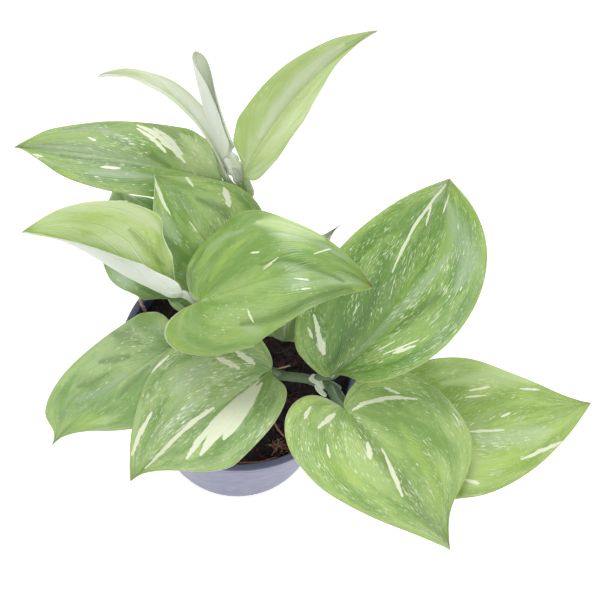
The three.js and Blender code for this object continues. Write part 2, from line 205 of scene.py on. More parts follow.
def use_group(tree, name, values, out=0):
    made = tree.nodes.new("ShaderNodeGroup")
    made.node_tree = bpy.data.node_groups[name]
    for socket, value in values.items():
        if isinstance(value, bpy.types.NodeSocket):
            tree.links.new(value, made.inputs[socket])
        else:
            made.inputs[socket].default_value = value
    return made.outputs[out]


def new_finish(name):
    finish = bpy.data.materials.new(name)
    finish.use_nodes = True
    return finish, finish.node_tree, finish.node_tree.nodes["Principled BSDF"].inputs


def paint(red, green, blue):
    """A colour as measured on a screen, from 0 to 255, in Blender's linear values."""
    return (*[(c / 255) ** 2.2 for c in (red, green, blue)], 1)


def in_millimetres(tree):
    """The place on the piece itself."""
    return scaled(tree, put(tree, "TexCoord", out=3), (1 / MM, 1 / MM, 1 / MM))


def darker(color, share):
    return (*[share * c for c in color[:3]], 1)


def finished(tree, shader, color, rough, height, depth_mm):
    """Joins the colour, the roughness and the fine relief to the shader."""
    bump = put(tree, "Bump", {"Height": height, "Distance": depth_mm * MM, "Strength": 1.0})
    for output, socket in ((color, "Base Color"), (rough, "Roughness"), (bump, "Normal")):
        tree.links.new(output, shader[socket])


# %% [markdown]
# ## Effects that several finishes share
# Living and moulded things are never one even colour, so a soft mottle is used
# everywhere. A leaf also needs its side veins, the fine flecks that lie along
# them, and streaks of cream, of painted sheen or of painted shade, each in its
# own place. Each effect is a node group with its own sockets, and puts out only
# masks or heights.

# %% Soft mottle
mottle_sockets = {"Place": (0.0, 0.0, 0.0), "Size": 10.0, "Contrast": 0.5}
tree, takes, gives = new_group("soft mottle", mottle_sockets, ["Value"])
scale = maths(tree, "DIVIDE", 1.0, takes["Size"])
cloud = grain(tree, takes["Place"], scale, 3.0)
centred = times(tree, minus(tree, cloud, 0.5), takes["Contrast"])
mottle = put(tree, "Math", (times(tree, centred, 4.0), 0.5), operation="ADD", use_clamp=True)
tree.links.new(mottle, gives["Value"])

# %% Side veins
tree, takes, gives = new_group("side veins", {"Vein": (0.0, 0.0, 0.0), "Spacing": 6.0}, ["Line", "Height"])
across_veins = put(tree, "SeparateXYZ", (takes["Vein"],))
wobble = grain(tree, scaled(tree, takes["Vein"], (0.15, 0.05, 0.15)), 1.0)
moved = plus(tree, across_veins, times(tree, wobble, 2.0))


def line_every(spacing, sharp):
    """A soft line each spacing millimetres across the veins."""
    turn = maths(tree, "DIVIDE", moved, spacing)
    from_line = maths(tree, "PINGPONG", turn, 0.5)
    return ramp(tree, from_line, 0.0, sharp, 1.0, 0.0)


main_veins = line_every(takes["Spacing"], 0.12)
fine_veins = line_every(times(tree, takes["Spacing"], 0.2), 0.5)
tree.links.new(main_veins, gives["Line"])
hollow = plus(tree, times(tree, main_veins, 0.45), times(tree, fine_veins, 0.25))
tree.links.new(minus(tree, 1.0, hollow), gives["Height"])

# %% Flecks
tree, takes, gives = new_group("flecks", {"Vein": (0.0, 0.0, 0.0), "Amount": 0.3, "Size": 1.0}, ["Mask"])
stretched = scaled(tree, takes["Vein"], (1.5, 0.16, 0.3))
sized = vectors(tree, "DIVIDE", stretched, put(tree, "CombineXYZ", [takes["Size"]] * 3))
small = grain(tree, sized, 1.0, 1.5)
crowd = grain(tree, scaled(tree, takes["Vein"], (0.1, 0.05, 0.05)), 1.0)
level_here = plus(tree, small, times(tree, minus(tree, crowd, 0.5), 0.36))
from_here = minus(tree, 0.74, times(tree, takes["Amount"], 0.2))
fleck = ramp(tree, minus(tree, level_here, from_here), 0.0, 0.045)
tree.links.new(fleck, gives["Mask"])

# %% Streak
streak_sockets = {
    "Flat": (0.0, 0.0, 0.0), "Threads": 0.5, "From": (0.0, 0.0, 0.0), "To": (0.0, 10.0, 0.0),
    "Start width": 1.0, "End width": 1.0, "Ragged": 1.5, "Softness": 0.15,
}
tree, takes, gives = new_group("streak", streak_sockets, ["Mask"])
way = vectors(tree, "SUBTRACT", takes["To"], takes["From"])
step = vectors(tree, "SUBTRACT", takes["Flat"], takes["From"])
share = maths(
    tree, "DIVIDE",
    vectors(tree, "DOT_PRODUCT", step, way, out=1),
    vectors(tree, "DOT_PRODUCT", way, way, out=1),
)
share = put(tree, "Clamp", (share, 0.0, 1.0))
nearest = vectors(tree, "SCALE", way)
tree.links.new(share, nearest.node.inputs["Scale"])
apart = vectors(tree, "LENGTH", vectors(tree, "SUBTRACT", step, nearest), out=1)
width = put(tree, "MapRange", (share, 0.0, 1.0, takes["Start width"], takes["End width"]))
uneven = times(tree, minus(tree, takes["Threads"], 0.5), takes["Ragged"])
distance = plus(tree, maths(tree, "DIVIDE", apart, width), uneven)
inner = minus(tree, 1.0, takes["Softness"])
outer = plus(tree, 1.0, takes["Softness"])
tree.links.new(ramp(tree, distance, inner, outer, 1.0, 0.0), gives["Mask"])
print("shared effects:", [g.name for g in bpy.data.node_groups])

# %% [markdown]
# ## The shape of a leaf
# A blade is two halves that meet in the midrib. Each half has an outline, is
# folded up from the midrib and curls down again to its edge, and the midrib
# itself is bowed. A leaf could be sculpted by hand, but the same few numbers
# also made the CAD solid, so building from them keeps both in one place. Here
# the blade gets many more rows, and the pleats and ruffles of the real one.

# %% Leaf outline
LOBE_END = 0.14
WIDE_END = 0.52
PLAIN_HALF = dict(
    width=30, lobe=4, widest=0.38, full=0.45, draw=0.12, taper=0.17, fold=(15, 15), curl=(20, 20),
)


def cubic(points, t):
    p = np.array(points, float)
    t = t[..., None]
    a = 1 - t
    return a**3 * p[0] + 3 * a * a * t * p[1] + 3 * a * t * t * p[2] + t**3 * p[3]


def outline(half, length, s):
    """The edge of one half: round the lobe, out to the widest place, on to the tip."""
    w, lobe, y = half["width"], half["lobe"], half["widest"] * length
    back, side = (0.45 * w, -lobe), (w, y)
    lobe_part = [(0, 0), (0.05 * w, -0.75 * lobe), (0.22 * w, -lobe), back]
    side_part = [back, (0.78 * w, -lobe), (w, y - 0.5 * (y + lobe)), side]
    full_at = y + half["full"] * (length - y)
    tip_part = [side, (w, full_at), (half["draw"] * w, length * (1 - half["taper"])), (0, length)]
    first = cubic(lobe_part, np.clip(s / LOBE_END, 0, 1))
    middle = cubic(side_part, np.clip((s - LOBE_END) / (WIDE_END - LOBE_END), 0, 1))
    last = cubic(tip_part, np.clip((s - WIDE_END) / (1 - WIDE_END), 0, 1))
    s = s[..., None]
    return np.where(s < LOBE_END, first, np.where(s < WIDE_END, middle, last))


def unit(v):
    return v / np.linalg.norm(v, axis=-1, keepdims=True)


def mix(pair, share):
    return pair[0] + (pair[1] - pair[0]) * share


def hill(off, wide):
    """1 at its middle, and almost 0 at twice its half width."""
    return np.exp(-((off / wide) ** 2))


# %% Midrib


def leaf_axes(leaf):
    base, tip = np.array(leaf["base"], float), np.array(leaf["tip"], float)
    length = np.linalg.norm(tip - base)
    along = (tip - base) / length
    up = unit(np.array((0, 0, 1.0)) - along[2] * along)
    across = np.cross(along, up)
    turn = math.radians(leaf["bank"])
    normal = math.cos(turn) * up + math.sin(turn) * across
    side = math.cos(turn) * across - math.sin(turn) * up
    return base, length, along, normal, side


def midrib(leaf, v):
    """Points of the midrib with their cross directions; v is 0 at the stalk and 1 at the tip."""
    base, length, along, normal, side = leaf_axes(leaf)
    v = np.asarray(v, float)[..., None]
    inside = np.clip(v, 0, 1)
    beyond = np.minimum(v, 0)
    skew, sweep = leaf["skew"], leaf["sweep"]
    lean = 1 + skew * (2 * inside - 1)
    bow, bow_slope = 4 * inside * (1 - inside), 4 * (1 - 2 * inside)
    rise = leaf["arch"] * bow * lean
    rise_slope = leaf["arch"] * (bow_slope * lean + 2 * skew * bow)
    point = base + v * length * along
    point = point + (rise + beyond * rise_slope) * normal + sweep * (bow + beyond * bow_slope) * side
    tangent = unit(length * along + rise_slope * normal + sweep * bow_slope * side)
    across = unit(side - (side * tangent).sum(-1, keepdims=True) * tangent)
    return point, across, np.cross(across, tangent)


# %% Blade surface
VEIN_SLANT = 0.3
VEIN_BOW = 1.35
VEIN_FORWARD = 1.2
WAVES = 2.5
PLEAT_EVERY = 9
PLEAT = 0.1
RUFFLES = 6
RUFFLE = 0.25


def from_row(x, y, row):
    """The distance from places in the flat leaf to a row of points."""
    near = np.full(x.shape, 1e9)
    for (ax, ay), (bx, by) in zip(row, row[1:]):
        wx, wy = bx - ax, by - ay
        share = np.clip(((x - ax) * wx + (y - ay) * wy) / (wx * wx + wy * wy), 0, 1)
        near = np.minimum(near, np.hypot(x - ax - share * wx, y - ay - share * wy))
    return near


def blade(leaf, sign, s, t):
    """The middle surface of one half, its normals, and its places in the flat leaf."""
    half = leaf["left" if sign < 0 else "right"]
    length = leaf_axes(leaf)[1]
    edge = outline(half, length, s)
    # The veins start close together beside the stalk, and further apart past the first tenth.
    start = length * np.where(s < 0.1, 0.2 * s, 0.02 + 0.98 * np.clip((s - 0.1) / 0.9, 0, 1) ** 1.25)
    x = edge[..., 0] * (1 - (1 - t) ** VEIN_BOW)
    y = start + (edge[..., 1] - start) * t**VEIN_FORWARD
    inside = np.clip(y / length, 0, 1)
    point, across, normal = midrib(leaf, y / length)
    fold = np.radians(mix(half["fold"], inside))
    bend = np.radians(mix(half["curl"], inside)) / half["width"]
    bend = np.where(np.abs(bend) < 1e-6, 1e-6, bend)
    slope = fold - bend * x
    out = (np.sin(fold) - np.sin(slope)) / bend
    rise = (np.cos(slope) - np.cos(fold)) / bend
    rise = rise + leaf["wave"] * np.sin(2 * np.pi * WAVES * s) * t * t
    vein = t * half["width"] - VEIN_SLANT * s * length
    rise = rise + PLEAT * np.sin(2 * np.pi * vein / PLEAT_EVERY) * np.sin(np.pi * t) * np.sin(np.pi * s)
    rise = rise + RUFFLE * np.sin(2 * np.pi * RUFFLES * s + 3 * sign) * t**3
    for row, wide, deep in leaf["creases"]:
        rise = rise - deep * hill(from_row(sign * x, y, row), wide) * np.sin(np.pi * t) ** 0.5
    place = point + (sign * out)[..., None] * across + rise[..., None] * normal
    lean = slope * np.clip(t / 0.06, 0, 1)
    face = np.cos(lean)[..., None] * normal - (sign * np.sin(lean))[..., None] * across
    return place, face, sign * x, y, edge[..., 0], vein


# %% [markdown]
# ## Curves for stalks, vines and roots
# Every stem follows a smooth curve through a few points. The curve passes
# through the same points as the CAD rods, and the tube round it may change its
# radius along the way and round its girth, for joints, grooves and bark.

# %% Tubes along curves


def smooth_row(points, steps):
    """Evenly spaced points on a smooth curve through the given ones."""
    p = [np.array(q, float) for q in points]
    p = [2 * p[0] - p[1]] + p + [2 * p[-1] - p[-2]]
    fine = []
    for a, b, c, d in zip(p, p[1:], p[2:], p[3:]):
        g = [max(np.linalg.norm(n - m), 1e-4) ** 0.5 for m, n in ((a, b), (b, c), (c, d))]
        leave = ((b - a) / g[0] - (c - a) / (g[0] + g[1]) + (c - b) / g[1]) * g[1]
        arrive = ((c - b) / g[1] - (d - b) / (g[1] + g[2]) + (d - c) / g[2]) * g[1]
        for t in np.arange(0, 1, 1 / 24):
            h = (2 * t**3 - 3 * t**2 + 1, t**3 - 2 * t**2 + t, 3 * t**2 - 2 * t**3, t**3 - t**2)
            fine.append(h[0] * b + h[1] * leave + h[2] * c + h[3] * arrive)
    fine.append(p[-2])
    fine = np.array(fine)
    run = np.concatenate([[0], np.cumsum(np.linalg.norm(np.diff(fine, axis=0), axis=1))])
    even = np.linspace(0, run[-1], steps + 1)
    return np.stack([np.interp(even, run, fine[:, k]) for k in range(3)], 1), even


def tube(points, radius, sides, steps, up=(0, 0, 1)):
    """A closed tube. radius takes the length along it and the angle round it from up."""
    row, run = smooth_row(points, steps)
    tangents = unit(np.gradient(row, axis=0))
    normal = np.array(up, float)
    angles = np.linspace(0, 2 * np.pi, sides, endpoint=False)
    vertices, marks = [], []
    for point, tangent, length in zip(row, tangents, run):
        normal = unit(normal - normal.dot(tangent) * tangent)
        other = np.cross(tangent, normal)
        for angle in angles:
            r = radius(length, angle)
            vertices.append(point + r * (math.cos(angle) * normal + math.sin(angle) * other))
            marks.append((angle, length))
    faces = []
    for i in range(steps):
        for k in range(sides):
            a, b = i * sides + k, i * sides + (k + 1) % sides
            faces.append((a, b, b + sides, a + sides))
    faces.append(tuple(range(sides))[::-1])
    faces.append(tuple(range(steps * sides, (steps + 1) * sides)))
    return vertices, faces, marks


# %% Making a piece
pieces = {}


def moved_on(faces, start):
    """Faces for points that come after the first start ones."""
    return [tuple(start + k for k in face) for face in faces]


def mesh_piece(name, vertices, faces, layers, finishes, node_names, slot, finish_of=None, sharp=None):
    """Turns lists of millimetre points and faces into a piece that rides on the plant."""
    mesh = bpy.data.meshes.new(name)
    mesh.from_pydata([tuple(c * MM for c in v) for v in vertices], [], faces)
    corners = np.zeros(len(mesh.loops), int)
    mesh.loops.foreach_get("vertex_index", corners)
    for layer, values in layers.items():
        at_corners = np.asarray(values, np.float32)[corners]
        mesh.uv_layers.new(name=layer).data.foreach_set("uv", at_corners.ravel())
    for finish in finishes:
        mesh.materials.append(finish)
    mesh.polygons.foreach_set("material_index", finish_of or [0] * len(faces))
    mesh.shade_smooth()
    if sharp:
        mesh.set_sharp_from_angle(angle=math.radians(sharp))
    mesh.update()
    piece = add_object(name, mesh)
    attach(piece, "root")
    if node_names:
        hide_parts(*node_names)
    pieces[name] = piece
    return piece


# %% [markdown]
# ## What grows where
# The table gives each leaf the size and place that it has in the CAD model, in
# millimetres and degrees. `marks` are the cream streaks. The sheen rows are painted
# sheen, silvery streaks that stand for reflected light. The glow, pale and shade
# rows are washes of lime, pale and deep green: the pale ones are partly painted light,
# and the shade ones, like the creases' dark lines, are painted shade.
# Each is a row of places in the flat leaf, with x across it and y along the
# midrib, and half its width. A crease also has its depth.

# %% Vines
VINES = {
    "vine_front": dict(
        points=[(2, 8, 40), (5, 6, 72), (9, 1, 92), (14, -9, 106), (22, -14, 112), (34, -15, 114),
                (44, -17, 115), (50, -20, 115)],
        radius=(2.7, 2.2), stem="dull", stalks="dull",
    ),
    "vine_left": dict(
        points=[(-16, 14, 40), (-17, 12, 72), (-18, 10, 95), (-18, 8, 115), (-19, 6, 130), (-21, 5, 141)],
        radius=(2.9, 2.3), stem="dull", stalks="green",
    ),
    "vine_rear": dict(
        points=[(4, 24, 40), (4, 28, 72), (4, 34, 90), (3, 44, 104), (0, 58, 117), (-5, 69, 130),
                (-10, 74, 142)],
        radius=(2.9, 2.1), stem="young", stalks="young",
    ),
}

# %% What a plain leaf has
PLAIN_LEAF = dict(
    sweep=0, skew=0, bank=0, wave=0.8, creases=[], edge=0.3, painted_sheen_bands=0.3, rim=0.5, dry_tip=0.15,
    marks=[], painted_sheens=[], glows=[], pales=[], painted_shades=[],
)


def half(**given):
    return {**PLAIN_HALF, **given}


def grown_on(vine, leaves):
    """The leaves of one vine, each filled up with what a plain leaf has."""
    looks = {"vine": vine, "stalk_look": VINES[vine]["stalks"]}
    return {name: {**PLAIN_LEAF, **looks, **leaf} for name, leaf in leaves.items()}


# %% Leaves of the front vine
LEAVES = grown_on("vine_front", {
    "leaf_right_tall": dict(
        look="dark", base=(45, -16, 122), tip=(90, 75, 165), arch=-4, sweep=8,
        left=half(width=38, lobe=4, widest=0.3, full=0.75, draw=0.2, taper=0.05,
                  fold=(33, 14), curl=(18, 20)),
        right=half(width=40, lobe=-6, full=0.75, draw=0.2, taper=0.05, fold=(60, 14), curl=(18, 20)),
        stalk=[(39, -16, 114.5), (40, -15, 118)], flecks=0.48,
        marks=[
            ([(-1, 107), (-5, 98), (-9, 84), (-10, 70), (-9, 58)], 0.7), ([(-5, 97), (-4, 86)], 0.5),
            ([(2, 103), (2, 94)], 0.4), ([(-27, 15), (-21, 11), (-15, 7)], 1.2),
            ([(-20, 10), (-15, 7), (-11, 5)], 2.0), ([(-25, 8), (-20, 6)], 0.7),
            ([(18, 23), (22, 29), (27, 37)], 0.7), ([(22, 26), (28, 34)], 1.1),
            ([(13, 23), (17, 31)], 0.5),
        ],
        painted_sheens=[
            ([(0, 2), (2, 21), (6, 46), (9, 60), (14, 78)], 3.2),
            ([(1, 100), (16, 86), (24, 77), (26, 64)], 5.5), ([(-1, 110), (-4, 98)], 2.5),
        ],
        painted_shades=[([(-5, 3), (-7, 24), (-12, 50)], 4.0), ([(12, 34), (20, 60)], 3.0)], deep=(80, 124, 36),
        light=(130, 163, 80), edge=0.4, painted_sheen_bands=0.15,
    ),
    "leaf_front_right": dict(
        look="lime", base=(53, -34, 129), tip=(109.5, -87, 103), arch=9.5, skew=0.3, sweep=-1, bank=-12,
        left=half(width=40, lobe=5, widest=0.33, full=0.82, draw=0.05, taper=0.42,
                  fold=(20, 16), curl=(25, 15)),
        right=half(width=41, lobe=16, widest=0.18, full=0.42, draw=0.18, taper=0.12,
                   fold=(20, 20), curl=(30, 15)),
        stalk=[(45.5, -17.5, 115), (46, -21, 119), (48, -27, 124)], deep=(116, 150, 74),
        light=(158, 186, 106), sheen=(174, 193, 160), flecks=0.48,
        marks=[
            ([(-2, 3), (-7, 4), (-13, 7), (-21, 12), (-28, 19)], 0.9), ([(2, 24), (5, 30)], 0.7),
            ([(6, 18), (12, 24)], 1.2), ([(19, -1), (12, -1), (7, -1)], 1.3),
            ([(14, -10), (21, -8)], 0.8), ([(-21, 6), (-24, 12)], 0.7), ([(23, 7), (27, 12)], 0.6),
            ([(4, 28), (8, 36), (12, 45)], 1.6),
        ],
        painted_sheens=[([(8, -14), (4, -9), (2, -3)], 1.4)],
        painted_shades=[([(0, 5), (4, 18), (7, 33), (8, 55), (2, 75)], 4.0)],
        glows=[([(-13, 22), (-8, 45), (-2, 64)], 4.0), ([(30, 6), (26, 30)], 3.0)], edge=0.45,
        painted_sheen_bands=0.15,
    ),
    "leaf_right": dict(
        look="lime", base=(77.5, -38, 99), tip=(177.5, -0.5, 94), arch=10, sweep=6, bank=-5,
        left=half(width=40, lobe=6, widest=0.3, full=0.47, draw=0.08, taper=0.19,
                  fold=(19, 9), curl=(23, 20)),
        right=half(width=34, lobe=6, widest=0.3, full=0.3, draw=0.17, taper=0.12,
                   fold=(19, 9), curl=(23, 20)),
        stalk=[(49, -19.5, 115), (54, -24, 111), (62, -30, 103), (70, -35, 98.5)], deep=(126, 157, 70),
        light=(160, 187, 102), flecks=0.38,
        marks=[
            ([(0, 38), (3, 54)], 0.8), ([(-20, 43), (-20, 54)], 0.6), ([(-17, 40), (-16, 51)], 0.5),
            ([(-4, 55), (-5, 60)], 0.6), ([(-16, 70), (-13, 80)], 0.6), ([(20, 56), (16, 78)], 0.9),
            ([(25, 30), (28, 35)], 0.8),
        ],
        glows=[([(20, 30), (18, 60)], 4.0)], painted_sheens=[([(7, 40), (9, 76)], 5.0)],
        pales=[([(-26, 30), (-26, 60), (-16, 84)], 5.0)], edge=0.35,
    ),
    "leaf_front": dict(
        look="dark", base=(17, -14, 118), tip=(-42, -72, 101), arch=4, sweep=-0.5,
        left=half(width=34.5, lobe=-3, widest=0.48, full=0.28, draw=0, taper=0.19,
                  fold=(42, 34), curl=(18, 20)),
        right=half(width=38, lobe=5, widest=0.35, full=0.55, draw=0.18, taper=0.07,
                   fold=(15, 12), curl=(20, 25)),
        stalk=[(20, -13, 111), (20, -14.5, 115)], deep=(108, 142, 74), light=(150, 176, 108),
        sheen=(166, 184, 152), flecks=0.55,
        marks=[
            ([(-2, 9), (-3, 22), (-5, 34), (-10, 49), (-13, 56)], 2.0),
            ([(-4, 12), (-8, 24), (-12, 38), (-17, 50)], 4.6),
            ([(-5, 9), (-11, 22), (-16, 33), (-19, 38)], 4.2),
            ([(2, 33), (3, 44), (2, 56), (0, 75)], 1.1), ([(19, 57), (15, 66), (9, 76)], 1.2),
            ([(17, 8), (7, 5)], 1.4), ([(20, 17), (10, 12)], 1.2), ([(36, 34), (35, 47)], 0.7),
        ],
        painted_sheens=[([(21, 20), (20, 44)], 5.0), ([(10, 30), (8, 60)], 2.5)],
        glows=[([(-5, 66), (-2, 78)], 2.0)],
    ),
})

# %% Leaves of the left vine
LEAVES |= grown_on("vine_left", {
    "leaf_centre": dict(
        look="lime", base=(-19.5, 2.5, 148), tip=(59, 20, 150), arch=25, skew=0.4, sweep=3, bank=-1,
        left=half(width=42, lobe=5.5, widest=0.25, full=0.16, draw=0.12, taper=0.1,
                  fold=(8, 10), curl=(35, 20)),
        right=half(width=29, lobe=16, widest=0.26, full=-0.11, draw=0.37, taper=0.04,
                   fold=(8, 10), curl=(50, 20)),
        stalk=[(-19, 6, 132), (-15, 3, 137), (-16, 2, 144)], deep=(106, 142, 64), light=(142, 171, 91),
        sheen=(154, 174, 140), rim=0.8, dry_tip=0.8,
        creases=[
            ([(-8, 29), (-7, 38), (-4, 46), (1, 56), (4, 65)], 1.5, 1.4),
            ([(17, 18), (19, 28), (18, 38), (14, 52), (8, 68)], 2.0, 1.2),
        ],
        painted_sheens=[
            ([(-26, 1), (-30, 11), (-29, 21)], 1.8), ([(7, 42), (6, 56), (3, 74)], 1.8),
            ([(-22, 34), (-16, 50), (-7, 68)], 1.6), ([(-2, 40), (3, 61), (1, 74)], 1.5),
            ([(19, 19), (23, 25)], 1.6),
        ],
        painted_shades=[
            ([(17, 50), (8, 68)], 2.6), ([(-6, -3), (-16, -4), (-27, 1)], 1.4),
            ([(-8, 29), (-7, 38), (-4, 46), (1, 56), (4, 65)], 0.9),
        ],
        glows=[([(-9, 6), (-19, 13), (-23, 21)], 2.4)], pales=[([(-31, 28), (-25, 44), (-16, 58)], 6.0)],
        edge=0.35, painted_sheen_bands=0.2, flecks=0.06,
        marks=[
            ([(-15, 25), (-14, 29)], 0.4), ([(-6, 30), (-9, 37)], 0.3), ([(-5, 30), (-7, 34)], 0.3),
            ([(3, 43), (5, 49)], 0.4), ([(-8, 53), (-11, 61)], 0.4), ([(12, 22), (18, 23)], 0.4),
            ([(9, 45), (9, 49)], 0.5),
        ],
    ),
    "leaf_left_boat": dict(
        look="lime", base=(-32, 5.5, 148.5), tip=(-103, 18, 164.5), arch=-7, skew=-2.2, sweep=5,
        left=half(width=14.5, lobe=7, widest=0.24, full=1.3, draw=0.14, taper=0.16,
                  fold=(70, 50), curl=(-85, -20)),
        right=half(width=32, lobe=2, widest=0.38, full=0.5, draw=0.16, taper=0.13,
                   fold=(45, 19), curl=(0, 0)),
        stalk=[(-21, 5, 139.5), (-23, 6.5, 141), (-28, 7.5, 143.5)], deep=(152, 180, 88),
        light=(182, 206, 132), sheen=(212, 222, 190), under=(206, 214, 200), flecks=0.25,
        painted_sheens=[
            ([(13, 60), (20, 52), (27, 42), (28, 31), (26, 12)], 2.6),
            ([(2, 50), (11, 36), (12, 28), (10, 18)], 4.0),
        ],
        pales=[([(8, 70), (6, 60), (4, 48)], 9.0), ([(13, 60), (20, 52), (27, 42), (29, 28)], 2.5)],
        painted_shades=[([(19, 33), (16, 18), (12, 4)], 2.5)], glows=[([(9, 55), (17, 48), (20, 43)], 3.0)],
        edge=0.0, stalk_look="pale",
    ),
    "leaf_front_left": dict(
        look="dark", base=(-32.5, -5, 110), tip=(-84, -56, 90), arch=3, sweep=1.5, bank=8, wave=0.3,
        left=half(width=28, widest=0.36, full=0.4, draw=0, taper=0.21, fold=(20, 18), curl=(45, 30)),
        right=half(width=26.5, lobe=5.5, widest=0.09, full=1.25, draw=0.15, taper=0.24,
                   fold=(20, 18), curl=(45, 30)),
        stalk=[(-17.8, 10, 98), (-22, 6, 102), (-27, 1, 107)], deep=(114, 149, 81), light=(158, 183, 119),
        sheen=(154, 172, 148),
        creases=[
            ([(15, 32), (11, 26), (8, 20)], 2.4, 1.0), ([(12, 47), (9, 41), (7, 33)], 2.4, 0.9),
            ([(-7, 34), (-5, 25), (-3, 15)], 2.2, 0.9),
        ],
        painted_sheens=[([(7, 51), (1, 38), (1, 25)], 2.4)],
        painted_shades=[([(-7, 36), (-5, 25), (-3, 15)], 2.4), ([(26, 20), (18, 16), (10, 11)], 5.0)],
        glows=[([(27, 8), (20, 2), (12, -3)], 2.5), ([(2, 62), (-5, 54), (-11, 46)], 4.0)], painted_sheen_bands=0.2,
        flecks=0.2,
    ),
    "leaf_rear_left": dict(
        look="dark", base=(-35, 18, 112), tip=(-76, 79, 120), arch=4, sweep=-1.5, bank=10, wave=-3.5,
        left=half(width=24, lobe=-6, widest=0.33, full=0.6, fold=(18, 8), curl=(22, 20)),
        right=half(width=24, lobe=6, fold=(18, 8), curl=(22, 20)),
        stalk=[(-18, 10, 103), (-24, 12, 107), (-30, 15, 110)], deep=(88, 122, 52), light=(124, 154, 86),
        painted_sheens=[([(-22, 28), (-20, 20), (-16, 12)], 6.0)], flecks=0.3, marks=[([(-4, 60), (2, 58)], 0.7)],
    ),
})

